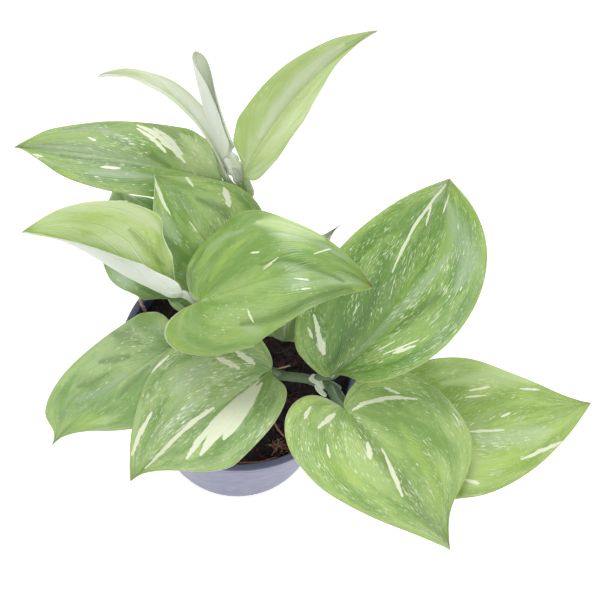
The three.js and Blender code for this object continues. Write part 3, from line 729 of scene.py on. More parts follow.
# %% Leaves of the rear vine
LEAVES |= grown_on("vine_rear", {
    "leaf_upper_left": dict(
        look="dark", base=(-18, 75.5, 136), tip=(-121, 73, 148), arch=8, sweep=-2, bank=2,
        left=half(width=19.5, lobe=2, widest=0.47, full=0.57, draw=0.12, taper=0.11,
                  fold=(12, 12), curl=(20, 30)),
        right=half(width=25, lobe=-4, widest=0.24, full=0.8, draw=0.17, taper=0.1,
                   fold=(20, 15), curl=(30, 50)),
        stalk=[(-1.7, 62, 121.5), (-7, 67, 123.5), (-13, 73, 129.5)], deep=(90, 128, 50),
        light=(128, 156, 80), sheen=(146, 160, 134), flecks=0.3,
        marks=[
            ([(21, 46), (18, 38), (12, 30), (5, 21)], 1.6), ([(19, 46), (14, 38), (8, 31)], 1.3),
            ([(21, 38), (15, 29), (9, 23)], 1.5), ([(9, 69), (8, 65)], 0.7), ([(-7, 60), (-6, 51)], 0.7),
            ([(-4, 93), (-5, 88)], 0.6),
        ],
        painted_sheens=[
            ([(11, 82), (16, 66), (12, 55), (8, 44)], 1.8), ([(1, 98), (1, 69), (0, 51), (0, 32)], 4.0),
            ([(-11, 66), (-8, 36)], 2.0),
        ],
        painted_shades=[([(11, 58), (7, 42), (1, 28)], 2.2), ([(-3, 80), (-4, 60), (-3, 40)], 1.6)],
        glows=[([(-12, 80), (-14, 70)], 1.6), ([(8, 48), (6, 38)], 2.0)],
        pales=[([(20, 24), (12, 15), (6, 9), (1, 2)], 6.0), ([(9, 24), (6, 15), (5, 6)], 6.0)],
    ),
    "leaf_middle": dict(
        look="dark", base=(-10, 30.5, 122), tip=(-50, 62, 157), arch=4,
        left=half(width=25.5, lobe=3, widest=0.35, full=0.55, draw=0.15, taper=0.11,
                  fold=(15, 15), curl=(30, 20)),
        right=half(width=33.5, lobe=3, widest=0.31, full=0.5, draw=0.15, taper=0.14,
                   fold=(15, 15), curl=(30, 20)),
        stalk=[(3.6, 38, 96), (0, 34, 104), (-6, 31, 114)], deep=(101, 140, 58), light=(152, 180, 102),
        sheen=(160, 180, 146), flecks=0.36,
        marks=[
            ([(0, 63), (-3, 57), (-6, 49), (-7, 43)], 0.9), ([(11, 53), (11, 46)], 0.7),
            ([(-1, 34), (-1, 28)], 0.5), ([(23, 36), (20, 28)], 1.5),
        ],
        painted_sheens=[([(-12, 48), (-12, 30)], 3.0)],
        painted_shades=[([(-17, 36), (-15, 25), (-22, 19)], 4.0), ([(9, 40), (16, 28), (14, 16)], 3.0)],
    ),
    "leaf_top_right": dict(
        look="lime", base=(-8.5, 72, 148.5), tip=(48, 132, 196.5), arch=2, sweep=-8, bank=-14, wave=0.3,
        left=half(width=16, lobe=-9, widest=0.27, full=0.63, draw=0.2, taper=0.09,
                  fold=(30, 40), curl=(5, 5)),
        right=half(width=30, lobe=0, widest=0.39, full=0.4, draw=0.05, taper=0.25,
                   fold=(35, 42), curl=(20, 5)),
        stalk=[(-6, 70.5, 132.5), (-4, 70, 138), (-5, 70, 143)], deep=(156, 180, 106),
        light=(174, 194, 130), sheen=(206, 212, 198), flecks=0.12,
        painted_sheens=[([(-2, 20), (-3, 34), (-4, 49), (-3, 64), (-3, 78)], 2.8)], edge=0.1,
    ),
    "leaf_top_left": dict(
        look="silvery", base=(-15.5, 73, 143), tip=(-89, 122, 146), arch=17, sweep=8.5,
        left=half(width=11, lobe=-6, widest=0.34, fold=(66, 40), curl=(0, 0)),
        right=half(width=8, lobe=-6, widest=0.28, full=0.54, draw=0.4, taper=0.08,
                   fold=(62, 42), curl=(0, 0)),
        stalk=[(-7.2, 71.2, 135), (-13, 72.3, 137.5)], deep=(198, 208, 174), light=(218, 224, 208),
        sheen=(230, 233, 226), painted_sheens=[([(5, 52), (4, 39), (4, 28), (4, 16)], 3.0)], edge=0.35,
        flecks=0.1,
    ),
    "leaf_furled": dict(
        look="silvery", base=(-15.5, 76.5, 156), tip=(-34.5, 99.5, 206), arch=1, sweep=-2.5, wave=0,
        left=half(width=18, lobe=-8, widest=0.35, draw=1, taper=0.01, fold=(30, 30), curl=(-110, -110)),
        right=half(width=12, lobe=-8, widest=0.3, draw=1, taper=0.06, fold=(30, 30), curl=(-110, -110)),
        stalk=[(-10, 74, 141.9), (-11.4, 75, 146)], deep=(216, 222, 202), light=(226, 230, 218), edge=0.2,
        stalk_look="pale", flecks=0.0,
    ),
    # Its pale tip is painted light: two wide sheen rows in a near-white sheen colour cover the tip where it
    # lies in shade.
    "leaf_rear_right": dict(
        look="dark", base=(22, 6, 108), tip=(42, 58, 139), arch=6, sweep=-6,
        left=half(width=18, lobe=-2, draw=0.04, taper=0.24, fold=(14, 55)),
        right=half(width=24, lobe=-1, draw=0.04, taper=0.24, fold=(14, 55)),
        stalk=[(4, 33, 90), (10, 22, 96), (18, 10, 104)], deep=(104, 136, 70), light=(138, 164, 104),
        sheen=(232, 235, 226), under=(226, 230, 220),
        painted_sheens=[([(0, 44), (0, 66)], 14.0), ([(-6, 46), (6, 46)], 10.0)], edge=0.0, flecks=0.2,
    ),
})
print("leaves:", len(LEAVES), "marks:", sum(len(leaf["marks"]) for leaf in LEAVES.values()))

# %% [markdown]
# ## The leaf's finish
# The upper face of a leaf is satin: green that changes softly, sunken side veins,
# cream flecks and streaks, and a thin pale rim. Over the green lie painted sheen,
# a paler grey-green beside the midrib and in bands that stands for reflected light,
# and painted shade, a deeper green in the creases and folds. Painting it by hand
# would give a picture. Here the pattern follows the leaf's own map, so flecks run
# along the veins however the leaf bends.

# %% Leaf colours
# Each look has a deep and a light green, the pale sheen colour that the painted sheen is laid in, and the
# underside's colour. The sheen colour also lightens the underside's midrib.
LOOKS = {
    "dark": dict(deep=(88, 126, 52), light=(132, 162, 84), sheen=(158, 178, 146), under=(186, 204, 168)),
    "lime": dict(deep=(116, 152, 58), light=(150, 182, 84), sheen=(174, 194, 154), under=(208, 216, 194)),
    "silvery": dict(deep=(184, 202, 142), light=(212, 220, 196), sheen=(228, 232, 224),
                    under=(218, 224, 210)),
}
CREAM = paint(220, 226, 198)
PALE_GREEN = paint(188, 208, 148)
GLOW = paint(160, 188, 84)
RIM = paint(206, 216, 176)
DRY_TIP = paint(150, 118, 92)


def leaf_place(tree):
    """The leaf's maps: a place across and along its veins, and one in the flat leaf."""
    vein_map = put(tree, "UVMap", uv_map="vein")
    flat = put(tree, "UVMap", uv_map="flat")
    both = put(tree, "SeparateXYZ", (vein_map,)).node.outputs
    from_midrib = put(tree, "SeparateXYZ", (flat,))
    return put(tree, "CombineXYZ", (both[0], both[1], from_midrib)), flat, from_midrib


VEIN_EVERY = 6.0
RAGGED_MM = 3.0
SOFT = 0.98


def streaks(tree, rows, flat, threads, ragged, softness):
    """One mask for all the rows, each thinner at its ends and full between them."""
    mask = None
    for row, width in rows:
        if len(row) == 2:
            row = [tuple(mix(pair, k) for pair in zip(*row)) for k in (0, 0.25, 0.75, 1)]
        end = min(0.45 * width, 1)
        widths = [end if i in (0, len(row) - 1) else width for i in range(len(row))]
        for i in range(len(row) - 1):
            values = {
                "Flat": flat, "Threads": threads, "From": (*row[i], 0.0), "To": (*row[i + 1], 0.0),
                "Start width": widths[i], "End width": widths[i + 1],
                "Ragged": min(ragged, RAGGED_MM / width), "Softness": softness,
            }
            one = use_group(tree, "streak", values)
            mask = one if mask is None else maths(tree, "MAXIMUM", mask, one)
    return mask if mask is not None else 0.0


# %% Upper face of a leaf


def leaf_paints(leaf):
    return {key: paint(*leaf.get(key, tone)) for key, tone in LOOKS[leaf["look"]].items()}


def leaf_top(name, leaf):
    look = leaf_paints(leaf)
    finish, tree, shader = new_finish(name + " upper face")
    vein, flat, from_midrib = leaf_place(tree)
    margin = put(tree, "SeparateXYZ", (put(tree, "UVMap", uv_map="margin"),))

    broad = grain(tree, scaled(tree, vein, (0.1, 0.03, 0.03)), 1.0, 2.0)
    marbled = grain(tree, scaled(tree, vein, (0.8, 0.2, 0.3)), 1.0, 3.0)
    tone = plus(tree, ramp(tree, broad, 0.2, 0.8), times(tree, marbled, 0.8))
    color = blend(tree, ramp(tree, tone, 0.4, 1.4), look["deep"], look["light"])
    lines = use_group(tree, "side veins", {"Vein": vein, "Spacing": VEIN_EVERY})
    color = blend(tree, times(tree, lines, 0.06), color, look["light"])
    color = blend(tree, ramp(tree, margin, 0.4, 5.0, leaf["edge"], 0.0), color, GLOW)

    threads = grain(tree, scaled(tree, vein, (0.9, 0.1, 0.4)), 1.0, 3.0)
    # Painted sheen: in random bands and along the sheen rows, the green is painted towards the pale sheen
    # colour. This stands for light reflected by the satin face.
    painted_sheen_bands = grain(tree, scaled(tree, vein, (0.2, 0.035, 0.05)), 1.0, 3.0)
    painted_sheen_bands = times(tree, ramp(tree, painted_sheen_bands, 0.44, 0.74), leaf["painted_sheen_bands"])
    sheen = times(tree, streaks(tree, leaf["painted_sheens"], flat, threads, 1.6, SOFT), 0.55)
    color = blend(tree, maths(tree, "MAXIMUM", painted_sheen_bands, sheen), color, look["sheen"])
    # Painted shade: each crease and each shade row is painted a darker deep green, standing for the shadow
    # in folds and pleats. The glow rows add lime. The pale rows add pale green, partly the leaf's own paler
    # green and partly painted light.
    crease_shade_rows = [(row, wide) for row, wide, deep in leaf["creases"]]
    washes = (
        (leaf["glows"], 1.2, SOFT, 0.4, GLOW),
        (leaf["pales"], 1.6, SOFT, 0.65, PALE_GREEN),
        (crease_shade_rows + leaf["painted_shades"], 1.2, 0.95, 0.62, darker(look["deep"], 0.6)),
    )
    for rows, ragged, softness, strength, wash in washes:
        mask = times(tree, streaks(tree, rows, flat, threads, ragged, softness), strength)
        color = blend(tree, mask, color, wash)
    midline = ramp(tree, maths(tree, "ABSOLUTE", from_midrib), 0.15, 0.6, 0.4, 0.0)
    color = blend(tree, midline, color, look["deep"])

    pale = use_group(tree, "flecks", {"Vein": vein, "Amount": leaf["flecks"] + 0.2, "Size": 0.6})
    color = blend(tree, times(tree, pale, 0.4), color, PALE_GREEN)
    cream = use_group(tree, "flecks", {"Vein": vein, "Amount": leaf["flecks"], "Size": 0.75})
    cream = times(tree, cream, ramp(tree, threads, 0.35, 0.6, 0.35, 1.0))
    cream = maths(tree, "MAXIMUM", cream, streaks(tree, leaf["marks"], flat, threads, 2.2, 0.14))
    color = blend(tree, times(tree, cream, 0.92), color, CREAM)
    color = blend(tree, ramp(tree, margin, 0.1, 0.45, leaf["rim"], 0.0), color, RIM)
    at_tip = ramp(tree, margin.node.outputs[1], 0.955, 0.99, 0.0, leaf["dry_tip"])
    color = blend(tree, at_tip, color, DRY_TIP)

    shader["Coat Weight"].default_value = 0.1
    shader["Coat Roughness"].default_value = 0.25
    height = plus(tree, lines.node.outputs["Height"], times(tree, marbled, 0.4))
    finished(tree, shader, color, ramp(tree, broad, 0.3, 0.7, 0.3, 0.46), height, 0.16)
    return finish


# %% Underside of a leaf


def leaf_under(name, leaf):
    look = leaf_paints(leaf)
    finish, tree, shader = new_finish(name + " underside")
    vein, _, from_midrib = leaf_place(tree)
    broad = grain(tree, scaled(tree, vein, (0.2, 0.04, 0.03)), 1.0, 3.0)
    color = blend(tree, ramp(tree, broad, 0.45, 0.8, 0.0, 0.4), look["under"], look["light"])
    lines = use_group(tree, "side veins", {"Vein": vein, "Spacing": VEIN_EVERY})
    color = blend(tree, times(tree, lines, 0.1), color, look["light"])
    midline = ramp(tree, maths(tree, "ABSOLUTE", from_midrib), 0.6, 1.6, 0.5, 0.0)
    color = blend(tree, midline, color, look["sheen"])
    height = minus(tree, 1.0, lines.node.outputs["Height"])
    finished(tree, shader, color, ramp(tree, broad, 0.3, 0.7, 0.5, 0.62), height, 0.25)
    return finish


# %% Stems and stalks


def stem_finish(name, green, brown, dotted=0.0):
    finish, tree, shader = new_finish(name)
    place = put(tree, "UVMap", uv_map="vein")
    fibre = grain(tree, scaled(tree, place, (3.0, 0.25, 0.0)), 1.0, 4.0)
    mottle = use_group(tree, "soft mottle", {"Place": place, "Size": 3.0, "Contrast": 0.5})
    color = blend(tree, mottle, green, darker(green, 0.72))
    dots = ramp(tree, grain(tree, place, 1.1, 3.0), 0.62 - dotted, 0.72 - dotted)
    color = blend(tree, times(tree, dots, 0.6), color, brown)
    finished(tree, shader, color, ramp(tree, fibre, 0.3, 0.7, 0.4, 0.58), fibre, 0.25)
    return finish


STALKS = {
    "green": stem_finish("leaf stalk", paint(158, 186, 124), paint(150, 142, 100)),
    "young": stem_finish("young stem", paint(164, 186, 132), paint(170, 168, 130)),
    "pale": stem_finish("pale stalk", paint(204, 213, 196), paint(184, 190, 160)),
    "dull": stem_finish("vine stem", paint(98, 122, 88), paint(126, 118, 88), 0.04),
}
print("leaf looks:", list(LOOKS))

# %% [markdown]
# ## Leaves
# Each leaf is one closed body: an upper and a lower face a fraction of a
# millimetre apart that meet along the rim, with a groove along the top of the
# midrib and a rounded rib below it. The stalk is a tube with a shallow channel
# along its upper side, as aroids have. Columns are closer together beside the
# midrib, where the form changes fastest.

# %% Leaf mesh
ROWS = 72
COLUMNS = 22
THICK_MIDDLE = 0.24
THICK_RIM = 0.13
RIB_DEPTH = 1.1
RIB_HALF = 1.3
GROOVE = 0.22
GROOVE_HALF = 0.8
FAR_FROM_RIM = 500.0


def blade_mesh(leaf):
    """Points, upper faces, lower faces with the rim, and maps for one blade."""
    s = np.linspace(0, 1, ROWS + 1)[1:-1]
    t = (np.arange(COLUMNS + 1) / COLUMNS) ** 1.45
    s, t = np.meshgrid(s, t, indexing="ij")
    halves = [blade(leaf, sign, s, t) for sign in (-1, 1)]
    joined = []
    for left, right in zip(*halves):
        joined.append(np.concatenate([left[:, :0:-1], right], axis=1))
    place, face, x, y, reach, vein = joined
    both_t = np.concatenate([-t[:, :0:-1], t], axis=1)
    both_s = np.concatenate([s[:, :0:-1], s], axis=1)
    length = leaf_axes(leaf)[1]
    thick = THICK_MIDDLE + (THICK_RIM - THICK_MIDDLE) * np.abs(both_t)
    fade = 1 - 0.85 * both_s
    rib = RIB_DEPTH * fade * hill(x, RIB_HALF)
    groove = GROOVE * fade * hill(x, GROOVE_HALF)
    upper = place + (thick - groove)[..., None] * face
    lower = place - (thick + rib)[..., None] * face
    ends = [blade(leaf, 1, np.array([e]), np.array([0.0])) for e in (0.0, 1.0)]

    wide = 2 * COLUMNS + 1
    rows = ROWS - 1
    vertices = np.concatenate([upper.reshape(-1, 3), lower.reshape(-1, 3), ends[0][0], ends[1][0]])
    steps = np.hypot(np.diff(x, axis=0), np.diff(y, axis=0))
    along = np.concatenate([np.hypot(x[:1], y[:1]), steps]).cumsum(axis=0)
    vein = np.stack([vein, along], -1).reshape(-1, 2)
    flat = np.stack([x, y], -1).reshape(-1, 2)
    margin = np.stack([(1 - np.abs(both_t)) * reach, both_s], -1).reshape(-1, 2)
    maps = {
        "vein": np.concatenate([vein, vein, [(0, 0), (-VEIN_SLANT * length, length)]]),
        "flat": np.concatenate([flat, flat, [(0, 0), (0, length)]]),
        "margin": np.concatenate([margin, margin, [(0, 0), (0, 1)]]),
    }
    top, low, base, tip = 0, rows * wide, 2 * rows * wide, 2 * rows * wide + 1
    upper_faces, lower_faces = [], []
    for i in range(rows - 1):
        for j in range(wide - 1):
            a, b = i * wide + j, i * wide + j + 1
            c, d = b + wide, a + wide
            upper_faces.append((a, b, c, d))
            lower_faces.append((low + d, low + c, low + b, low + a))
    last = (rows - 1) * wide
    for j in range(wide - 1):
        upper_faces += [(base, j + 1, j), (tip, last + j, last + j + 1)]
        lower_faces += [(base, low + j, low + j + 1), (tip, low + last + j + 1, low + last + j)]
    for i in range(rows - 1):
        for j, flip in ((0, False), (wide - 1, True)):
            a, d = i * wide + j, (i + 1) * wide + j
            quad = (a, d, low + d, low + a)
            lower_faces.append(quad[::-1] if flip else quad)
    lower_faces += [(base, 0, low), (base, low + wide - 1, wide - 1)]
    lower_faces += [(tip, low + last, last), (tip, last + wide - 1, low + last + wide - 1)]
    return vertices, upper_faces, lower_faces, maps


# %% Leaf stalk and whole leaf
STALK_MEETS = (0.01, 0.09, 0.18)
STALK_SINKS = (2.0, 1.5, 1.0)
STALK_RADII = ((0, 0.6, 1), (2.0, 1.64, 0.44))
CHANNEL_DEPTH = 0.22
CHANNEL_HALF = 0.55
KNEE = 0.35
KNEE_AT = 0.54
KNEE_HALF = 3


def stalk_mesh(leaf):
    """The stalk from its vine to the midrib, where its end sinks into the blade's underside."""
    point, across, normal = midrib(leaf, np.array(STALK_MEETS))
    under = point - np.array(STALK_SINKS)[:, None] * normal
    points = leaf["stalk"] + [tuple(p) for p in under]
    total = smooth_row(points, 40)[1][-1]

    def radius(length, angle):
        channel = CHANNEL_DEPTH * hill(min(angle, 2 * math.pi - angle), CHANNEL_HALF)
        knee = KNEE * hill(length - KNEE_AT * total, KNEE_HALF)
        return np.interp(length / total, *STALK_RADII) * (1 - channel) + knee

    return tube(points, radius, 18, 44, up=normal[0])


def leaf_piece(name, leaf):
    vertices, upper, lower, maps = blade_mesh(leaf)
    stalk_vertices, stalk_faces, marks = stalk_mesh(leaf)
    away = [(FAR_FROM_RIM, FAR_FROM_RIM)] * len(marks)
    maps["vein"] = np.concatenate([maps["vein"], np.array(marks) * (2.0, 1.0)])
    maps["flat"] = np.concatenate([maps["flat"], away])
    maps["margin"] = np.concatenate([maps["margin"], away])
    finish_of = [0] * len(upper) + [1] * len(lower) + [2] * len(stalk_faces)
    finishes = [leaf_top(name, leaf), leaf_under(name, leaf), STALKS[leaf["stalk_look"]]]
    points = [*vertices, *stalk_vertices]
    faces = upper + lower + moved_on(stalk_faces, len(vertices))
    mesh_piece(name + "_fine", points, faces, maps, finishes, [name], "leaf_" + leaf["look"], finish_of)


for name, leaf in LEAVES.items():
    leaf_piece(name, leaf)
print("leaf faces:", sum(len(p.data.polygons) for p in pieces.values()))

# %% [markdown]
# ## Vines
# A vine is jointed: it swells where a leaf leaves it, and a fine ring is left
# round it there. The places of the joints are read from the leaves' stalks.

# %% Vine meshes
# A joint is a swelling, with a ring and a fine furrow before it. Each has its
# height, how far before the joint it lies, and its half width.
JOINT = ((0.55, 0, 2.6), (0.22, 3.2, 0.35), (-0.18, 4.1, 0.4))


def vine_piece(name, vine):
    row, run = smooth_row(vine["points"], 200)
    joints = []
    for leaf in LEAVES.values():
        if leaf["vine"] == name:
            joints.append(run[np.linalg.norm(row - np.array(leaf["stalk"][0]), axis=1).argmin()])
    first, last = vine["radius"]

    def radius(length, angle):
        r = first + (last - first) * length / run[-1] + 0.06 * math.sin(3 * angle + 0.2 * length)
        for joint in joints:
            for high, before, wide in JOINT:
                r += high * hill(length - joint + before, wide)
        return r

    vertices, faces, marks = tube(vine["points"], radius, 24, 180)
    maps = {"vein": np.array(marks) * (2.5, 1.0)}
    look = STALKS[vine["stem"]]
    mesh_piece(name + "_fine", vertices, faces, maps, [look], [name], "vine")
    print(name, "joints at", [round(float(j)) for j in joints], "mm")


for name, vine in VINES.items():
    vine_piece(name, vine)

# %% [markdown]
# ## Pot
# A nursery pot is moulded from thin dark plastic: a tapered wall, a short collar
# with a small step below it, a rounded lip, and notches in the bottom edge that
# let water out. A profile turned about the upright axis gives all but the
# notches, and a boolean cuts those.

# %% Turning a profile


def turned(profile, sides):
    """A body of points and faces from a row of radii and heights that starts and ends on the axis."""
    vertices, faces = [], []
    counts = [1 if r == 0 else sides for r, z in profile]
    for (r, z), count in zip(profile, counts):
        for k in range(count):
            angle = 2 * math.pi * k / sides
            vertices.append((r * math.cos(angle), r * math.sin(angle), z))
    starts = np.concatenate([[0], np.cumsum(counts)])
    for i in range(len(profile) - 1):
        a, b = int(starts[i]), int(starts[i + 1])
        for k in range(sides):
            n = (k + 1) % sides
            if profile[i][0] == 0:
                faces.append((a, b + n, b + k))
            elif profile[i + 1][0] == 0:
                faces.append((a + k, a + n, b))
            else:
                faces.append((a + k, a + n, b + n, b + k))
    return vertices, faces


# %% Pot finish
POT_PLASTIC, tree, shader = new_finish("nursery pot plastic")
in_mm = in_millimetres(tree)
haze = use_group(tree, "soft mottle", {"Place": in_mm, "Size": 22.0, "Contrast": 0.4})
plastic = blend(tree, haze, paint(50, 52, 79), paint(61, 63, 97))
height_mm = put(tree, "SeparateXYZ", (in_mm,), out=2)
# Painted highlight: the top of the lip, from 95 to 97.6 mm up, is painted lighter where the light from above
# falls on it.
plastic = blend(tree, ramp(tree, height_mm, 95.0, 97.6, 0.0, 0.6), plastic, paint(104, 106, 134))
speck = ramp(tree, grain(tree, in_mm, 0.55, 5.0), 0.62, 0.7)
low_down = ramp(tree, height_mm, 4.0, 40.0, 0.5, 0.12)
plastic = blend(tree, times(tree, speck, low_down), plastic, paint(150, 140, 132))
rough = use_group(tree, "soft mottle", {"Place": in_mm, "Size": 6.0, "Contrast": 0.4})
finished(tree, shader, plastic, ramp(tree, rough, 0.0, 1.0, 0.3, 0.38), grain(tree, in_mm, 1.6, 3.0), 0.03)
shader["Coat Weight"].default_value = 0.1
shader["Coat Roughness"].default_value = 0.25
shader["Sheen Weight"].default_value = 0.14
shader["Sheen Roughness"].default_value = 0.5
shader["Sheen Tint"].default_value = (0.45, 0.45, 1.0, 1)

# %% Pot mesh
POT_PROFILE = [
    (0, 0), (36, 0), (39, 0), (41, 0.2), (42.4, 0.9), (43.1, 2.0), (43.6, 4), (46, 19), (48.4, 34),
    (50.8, 49), (53.2, 64), (55.6, 79), (56.9, 87.2), (57.3, 88.4), (57.7, 88.9), (58.4, 89.2),
    (58.8, 89.6), (59.1, 90.4), (59.4, 93.5), (59.6, 96.2), (59.9, 96.8), (60, 97.3), (59.85, 97.8),
    (59.4, 98), (58.5, 98), (57.4, 98), (56.8, 97.85), (56.5, 97.4), (56.3, 95), (55.8, 89), (53.4, 74),
    (49, 47), (45, 22), (41.6, 3.4), (40.8, 2.4), (39.4, 2), (0, 2),
]
POT_SIDES = 256
NOTCHES = 8
NOTCH_AT = 43
NOTCH_SIZE = (14, 8, 8)
NOTCH_ROUND = 1.2

pot = mesh_piece("pot_fine", *turned(POT_PROFILE, POT_SIDES), {}, [POT_PLASTIC], ["pot"], "pot")
cutters = bmesh.new()
for k in range(NOTCHES):
    turn = Matrix.Rotation(2 * math.pi * (k + 0.5) / NOTCHES, 4, "Z")
    stretch = Matrix.Diagonal((*[side * MM for side in NOTCH_SIZE], 1))
    bmesh.ops.create_cube(cutters, size=1, matrix=turn @ Matrix.Translation((NOTCH_AT * MM, 0, 0)) @ stretch)
bmesh.ops.bevel(cutters, geom=cutters.edges[:], offset=NOTCH_ROUND * MM, segments=3, affect="EDGES")
cutter_mesh = bpy.data.meshes.new("notches")
cutters.to_mesh(cutter_mesh)
cutters.free()
cutter = add_object("notches", cutter_mesh)
cut = pot.modifiers.new("notches", "BOOLEAN")
cut.object = cutter
cut.operation = "DIFFERENCE"
cut.solver = "EXACT"
cut_mesh = bpy.data.meshes.new_from_object(pot.evaluated_get(bpy.context.evaluated_depsgraph_get()))
pot.modifiers.clear()
pot.data = cut_mesh
cut_mesh.shade_smooth()
cut_mesh.set_sharp_from_angle(angle=math.radians(50))
bpy.data.objects.remove(cutter)
print("pot faces:", len(cut_mesh.polygons))

# %% [markdown]
# ## Soil
# The filling is peat and bark: a rough dark top with crumbs and chips lying on
# it. The body is turned like the pot and roughened with noise. Each crumb is a
# dented ball or a flat chip, placed with seeded chance, so that the light finds
# real edges and gaps. A map tells the finish how brown each crumb is.

# %% Soil finish
PEAT, tree, shader = new_finish("peat and bark")
in_mm = in_millimetres(tree)
crumb = put(tree, "SeparateXYZ", (put(tree, "UVMap", uv_map="crumb"),))
dark = blend(tree, grain(tree, in_mm, 0.8, 4.0), paint(14, 8, 14), paint(34, 18, 31))
color = blend(tree, ramp(tree, crumb, 0.55, 1.0), dark, paint(80, 46, 56))
red = ramp(tree, grain(tree, in_mm, 0.13, 2.0), 0.55, 0.7, 0.0, 0.35)
color = blend(tree, red, color, paint(60, 28, 38))
finished(tree, shader, color, ramp(tree, crumb, 0.0, 1.0, 0.75, 0.95), grain(tree, in_mm, 2.5, 4.0), 0.5)

# %% Soil body
SOIL_LEVEL = 89
SOIL_RADIUS = 55.3
SOIL_RINGS = 60
SOIL_SIDES = 180


def soil_height(x, y):
    rough = math.sin(0.31 * x + 1.1) * math.cos(0.27 * y - 0.4) + 0.6 * math.sin(0.53 * y + 0.19 * x)
    inward = 1 - math.hypot(x, y) / SOIL_RADIUS
    fine = noise.fractal((x * 0.35, y * 0.35, 3.0), 1.0, 2.2, 4)
    return SOIL_LEVEL + rough * min(1, 4 * inward) + 0.7 * fine


soil_profile = [(0, 2.3), (39, 2.3), (41.1, 4), (53, 77)]
soil_profile += [(SOIL_RADIUS * (1 - k / SOIL_RINGS), SOIL_LEVEL) for k in range(SOIL_RINGS)]
soil_profile.append((0, SOIL_LEVEL))
vertices, faces = turned(soil_profile, SOIL_SIDES)
vertices = [(x, y, soil_height(x, y)) if z == SOIL_LEVEL else (x, y, z) for x, y, z in vertices]
crumb_map = [(0.1, 0.0)] * len(vertices)
print("soil body:", len(faces), "faces")

# %% Crumbs and chips
ball = bmesh.new()
bmesh.ops.create_icosphere(ball, subdivisions=2, radius=1)
ball_points = np.array([v.co[:] for v in ball.verts])
ball_faces = [tuple(v.index for v in f.verts) for f in ball.faces]
ball.free()
SEED = 11
CRUMBS = 1100
CRUMBS_OUT_TO = 53.5
CHIP_SHARE = 0.3
STEM_ROOM = 4.5
chance = random.Random(SEED)


def clear_of_stems(x, y):
    """Whether a place lies clear of the vines, whose third points are in the soil's top."""
    stems = [vine["points"][2] for vine in VINES.values()]
    return all(math.hypot(x - stem[0], y - stem[1]) > STEM_ROOM for stem in stems)


for k in range(CRUMBS):
    turn = chance.uniform(0, 2 * math.pi)
    out = CRUMBS_OUT_TO * math.sqrt(chance.random())
    x, y = out * math.cos(turn), out * math.sin(turn)
    if not clear_of_stems(x, y):
        continue
    chip = chance.random() < CHIP_SHARE
    size = chance.uniform(0.6, 1.9)
    sizes = (size * 1.7, size * 0.9, size * 0.4) if chip else (size, size * 0.85, size * 0.7)
    spin = Matrix.Rotation(chance.uniform(0, 6.3), 3, "Z")
    spin = spin @ Matrix.Rotation(chance.uniform(-0.6, 0.6), 3, "X")
    tone = chance.random() ** (0.7 if chip else 1.6)
    dents = np.array([chance.uniform(0.72, 1.15) for _ in ball_points])[:, None]
    local = ball_points * dents * sizes @ np.array(spin).T
    at = np.array((x, y, soil_height(x, y) + 0.25 * size))
    faces += moved_on(ball_faces, len(vertices))
    vertices += [tuple(p) for p in local + at]
    crumb_map += [(tone, 1.0)] * len(ball_points)
mesh_piece("soil_fine", vertices, faces, {"crumb": crumb_map}, [PEAT], ["soil"], "soil", sharp=38)
print("soil faces:", len(faces))

# %% [markdown]
# ## Roots, sheaths and twig
# Fine brown roots and loose fibres lie on the soil, and a dry twig leans over
# the rim. Where a leaf unrolled, a papery sheath stays on the vine. They are all
# tubes, the sheaths pressed flat. The three larger roots and the twig follow the
# CAD ones, and the loose fibres are scattered with seeded chance.

# %% Root and twig finishes


def dry_finish(name, light, dark, depth):
    finish, tree, shader = new_finish(name)
    place = put(tree, "UVMap", uv_map="vein")
    lengthwise = grain(tree, scaled(tree, place, (2.0, 0.4, 0.0)), 1.0, 4.0)
    mottle = use_group(tree, "soft mottle", {"Place": place, "Size": 4.0, "Contrast": 0.7})
    color = blend(tree, mottle, dark, light)
    color = blend(tree, ramp(tree, lengthwise, 0.55, 0.75, 0.0, 0.5), color, dark)
    finished(tree, shader, color, ramp(tree, lengthwise, 0.3, 0.7, 0.7, 0.9), lengthwise, depth)
    return finish


ROOT = dry_finish("dry root", paint(180, 138, 116), paint(116, 80, 66), 0.15)
FIBRE = dry_finish("loose fibre", paint(104, 66, 62), paint(58, 34, 38), 0.15)
TWIG = dry_finish("dry twig", paint(214, 180, 164), paint(150, 112, 94), 0.3)

# %% Roots
ROOTS = {
    "root_rim": [([(2, -53, 90), (9, -52.8, 90.6), (17, -51.2, 90.4), (25, -47.6, 90)], 0.6, 0.45)],
    "root_curved": [([(20, -23, 89.6), (20.5, -28, 90.6), (23, -33, 90.7), (27.5, -37, 89.8)], 0.7, 0.5)],
    "root_tuft": [
        ([(24, -38, 89.4), (24.5, -42, 91), (24, -46, 92.2)], 0.45, 0.2),
        ([(20, -42, 89.6), (24, -42, 91), (28.5, -43.5, 89.8)], 0.4, 0.2),
        ([(22, -47, 89.6), (24.3, -43, 91.2), (27, -38.5, 89.6)], 0.35, 0.2),
    ],
}
ROOTLETS = 18
TUFT_AT = (24.3, -42.5)
TUFT_HALF = (3.4, 1.6)


def strands_piece(name, strands, finish, node_names, slot, sides, steps):
    vertices, faces, marks = [], [], []
    for points, thick, thin in strands:
        total = smooth_row(points, steps)[1][-1]

        def radius(length, angle):
            return (thick + (thin - thick) * length / total) * (1 + 0.15 * math.sin(2.1 * length + angle))

        its_vertices, its_faces, its_marks = tube(points, radius, sides, steps)
        faces += moved_on(its_faces, len(vertices))
        vertices += its_vertices
        marks += its_marks
    maps = {"vein": np.array(marks) * (0.6, 1.0)}
    mesh_piece(name, vertices, faces, maps, [finish], node_names, slot)


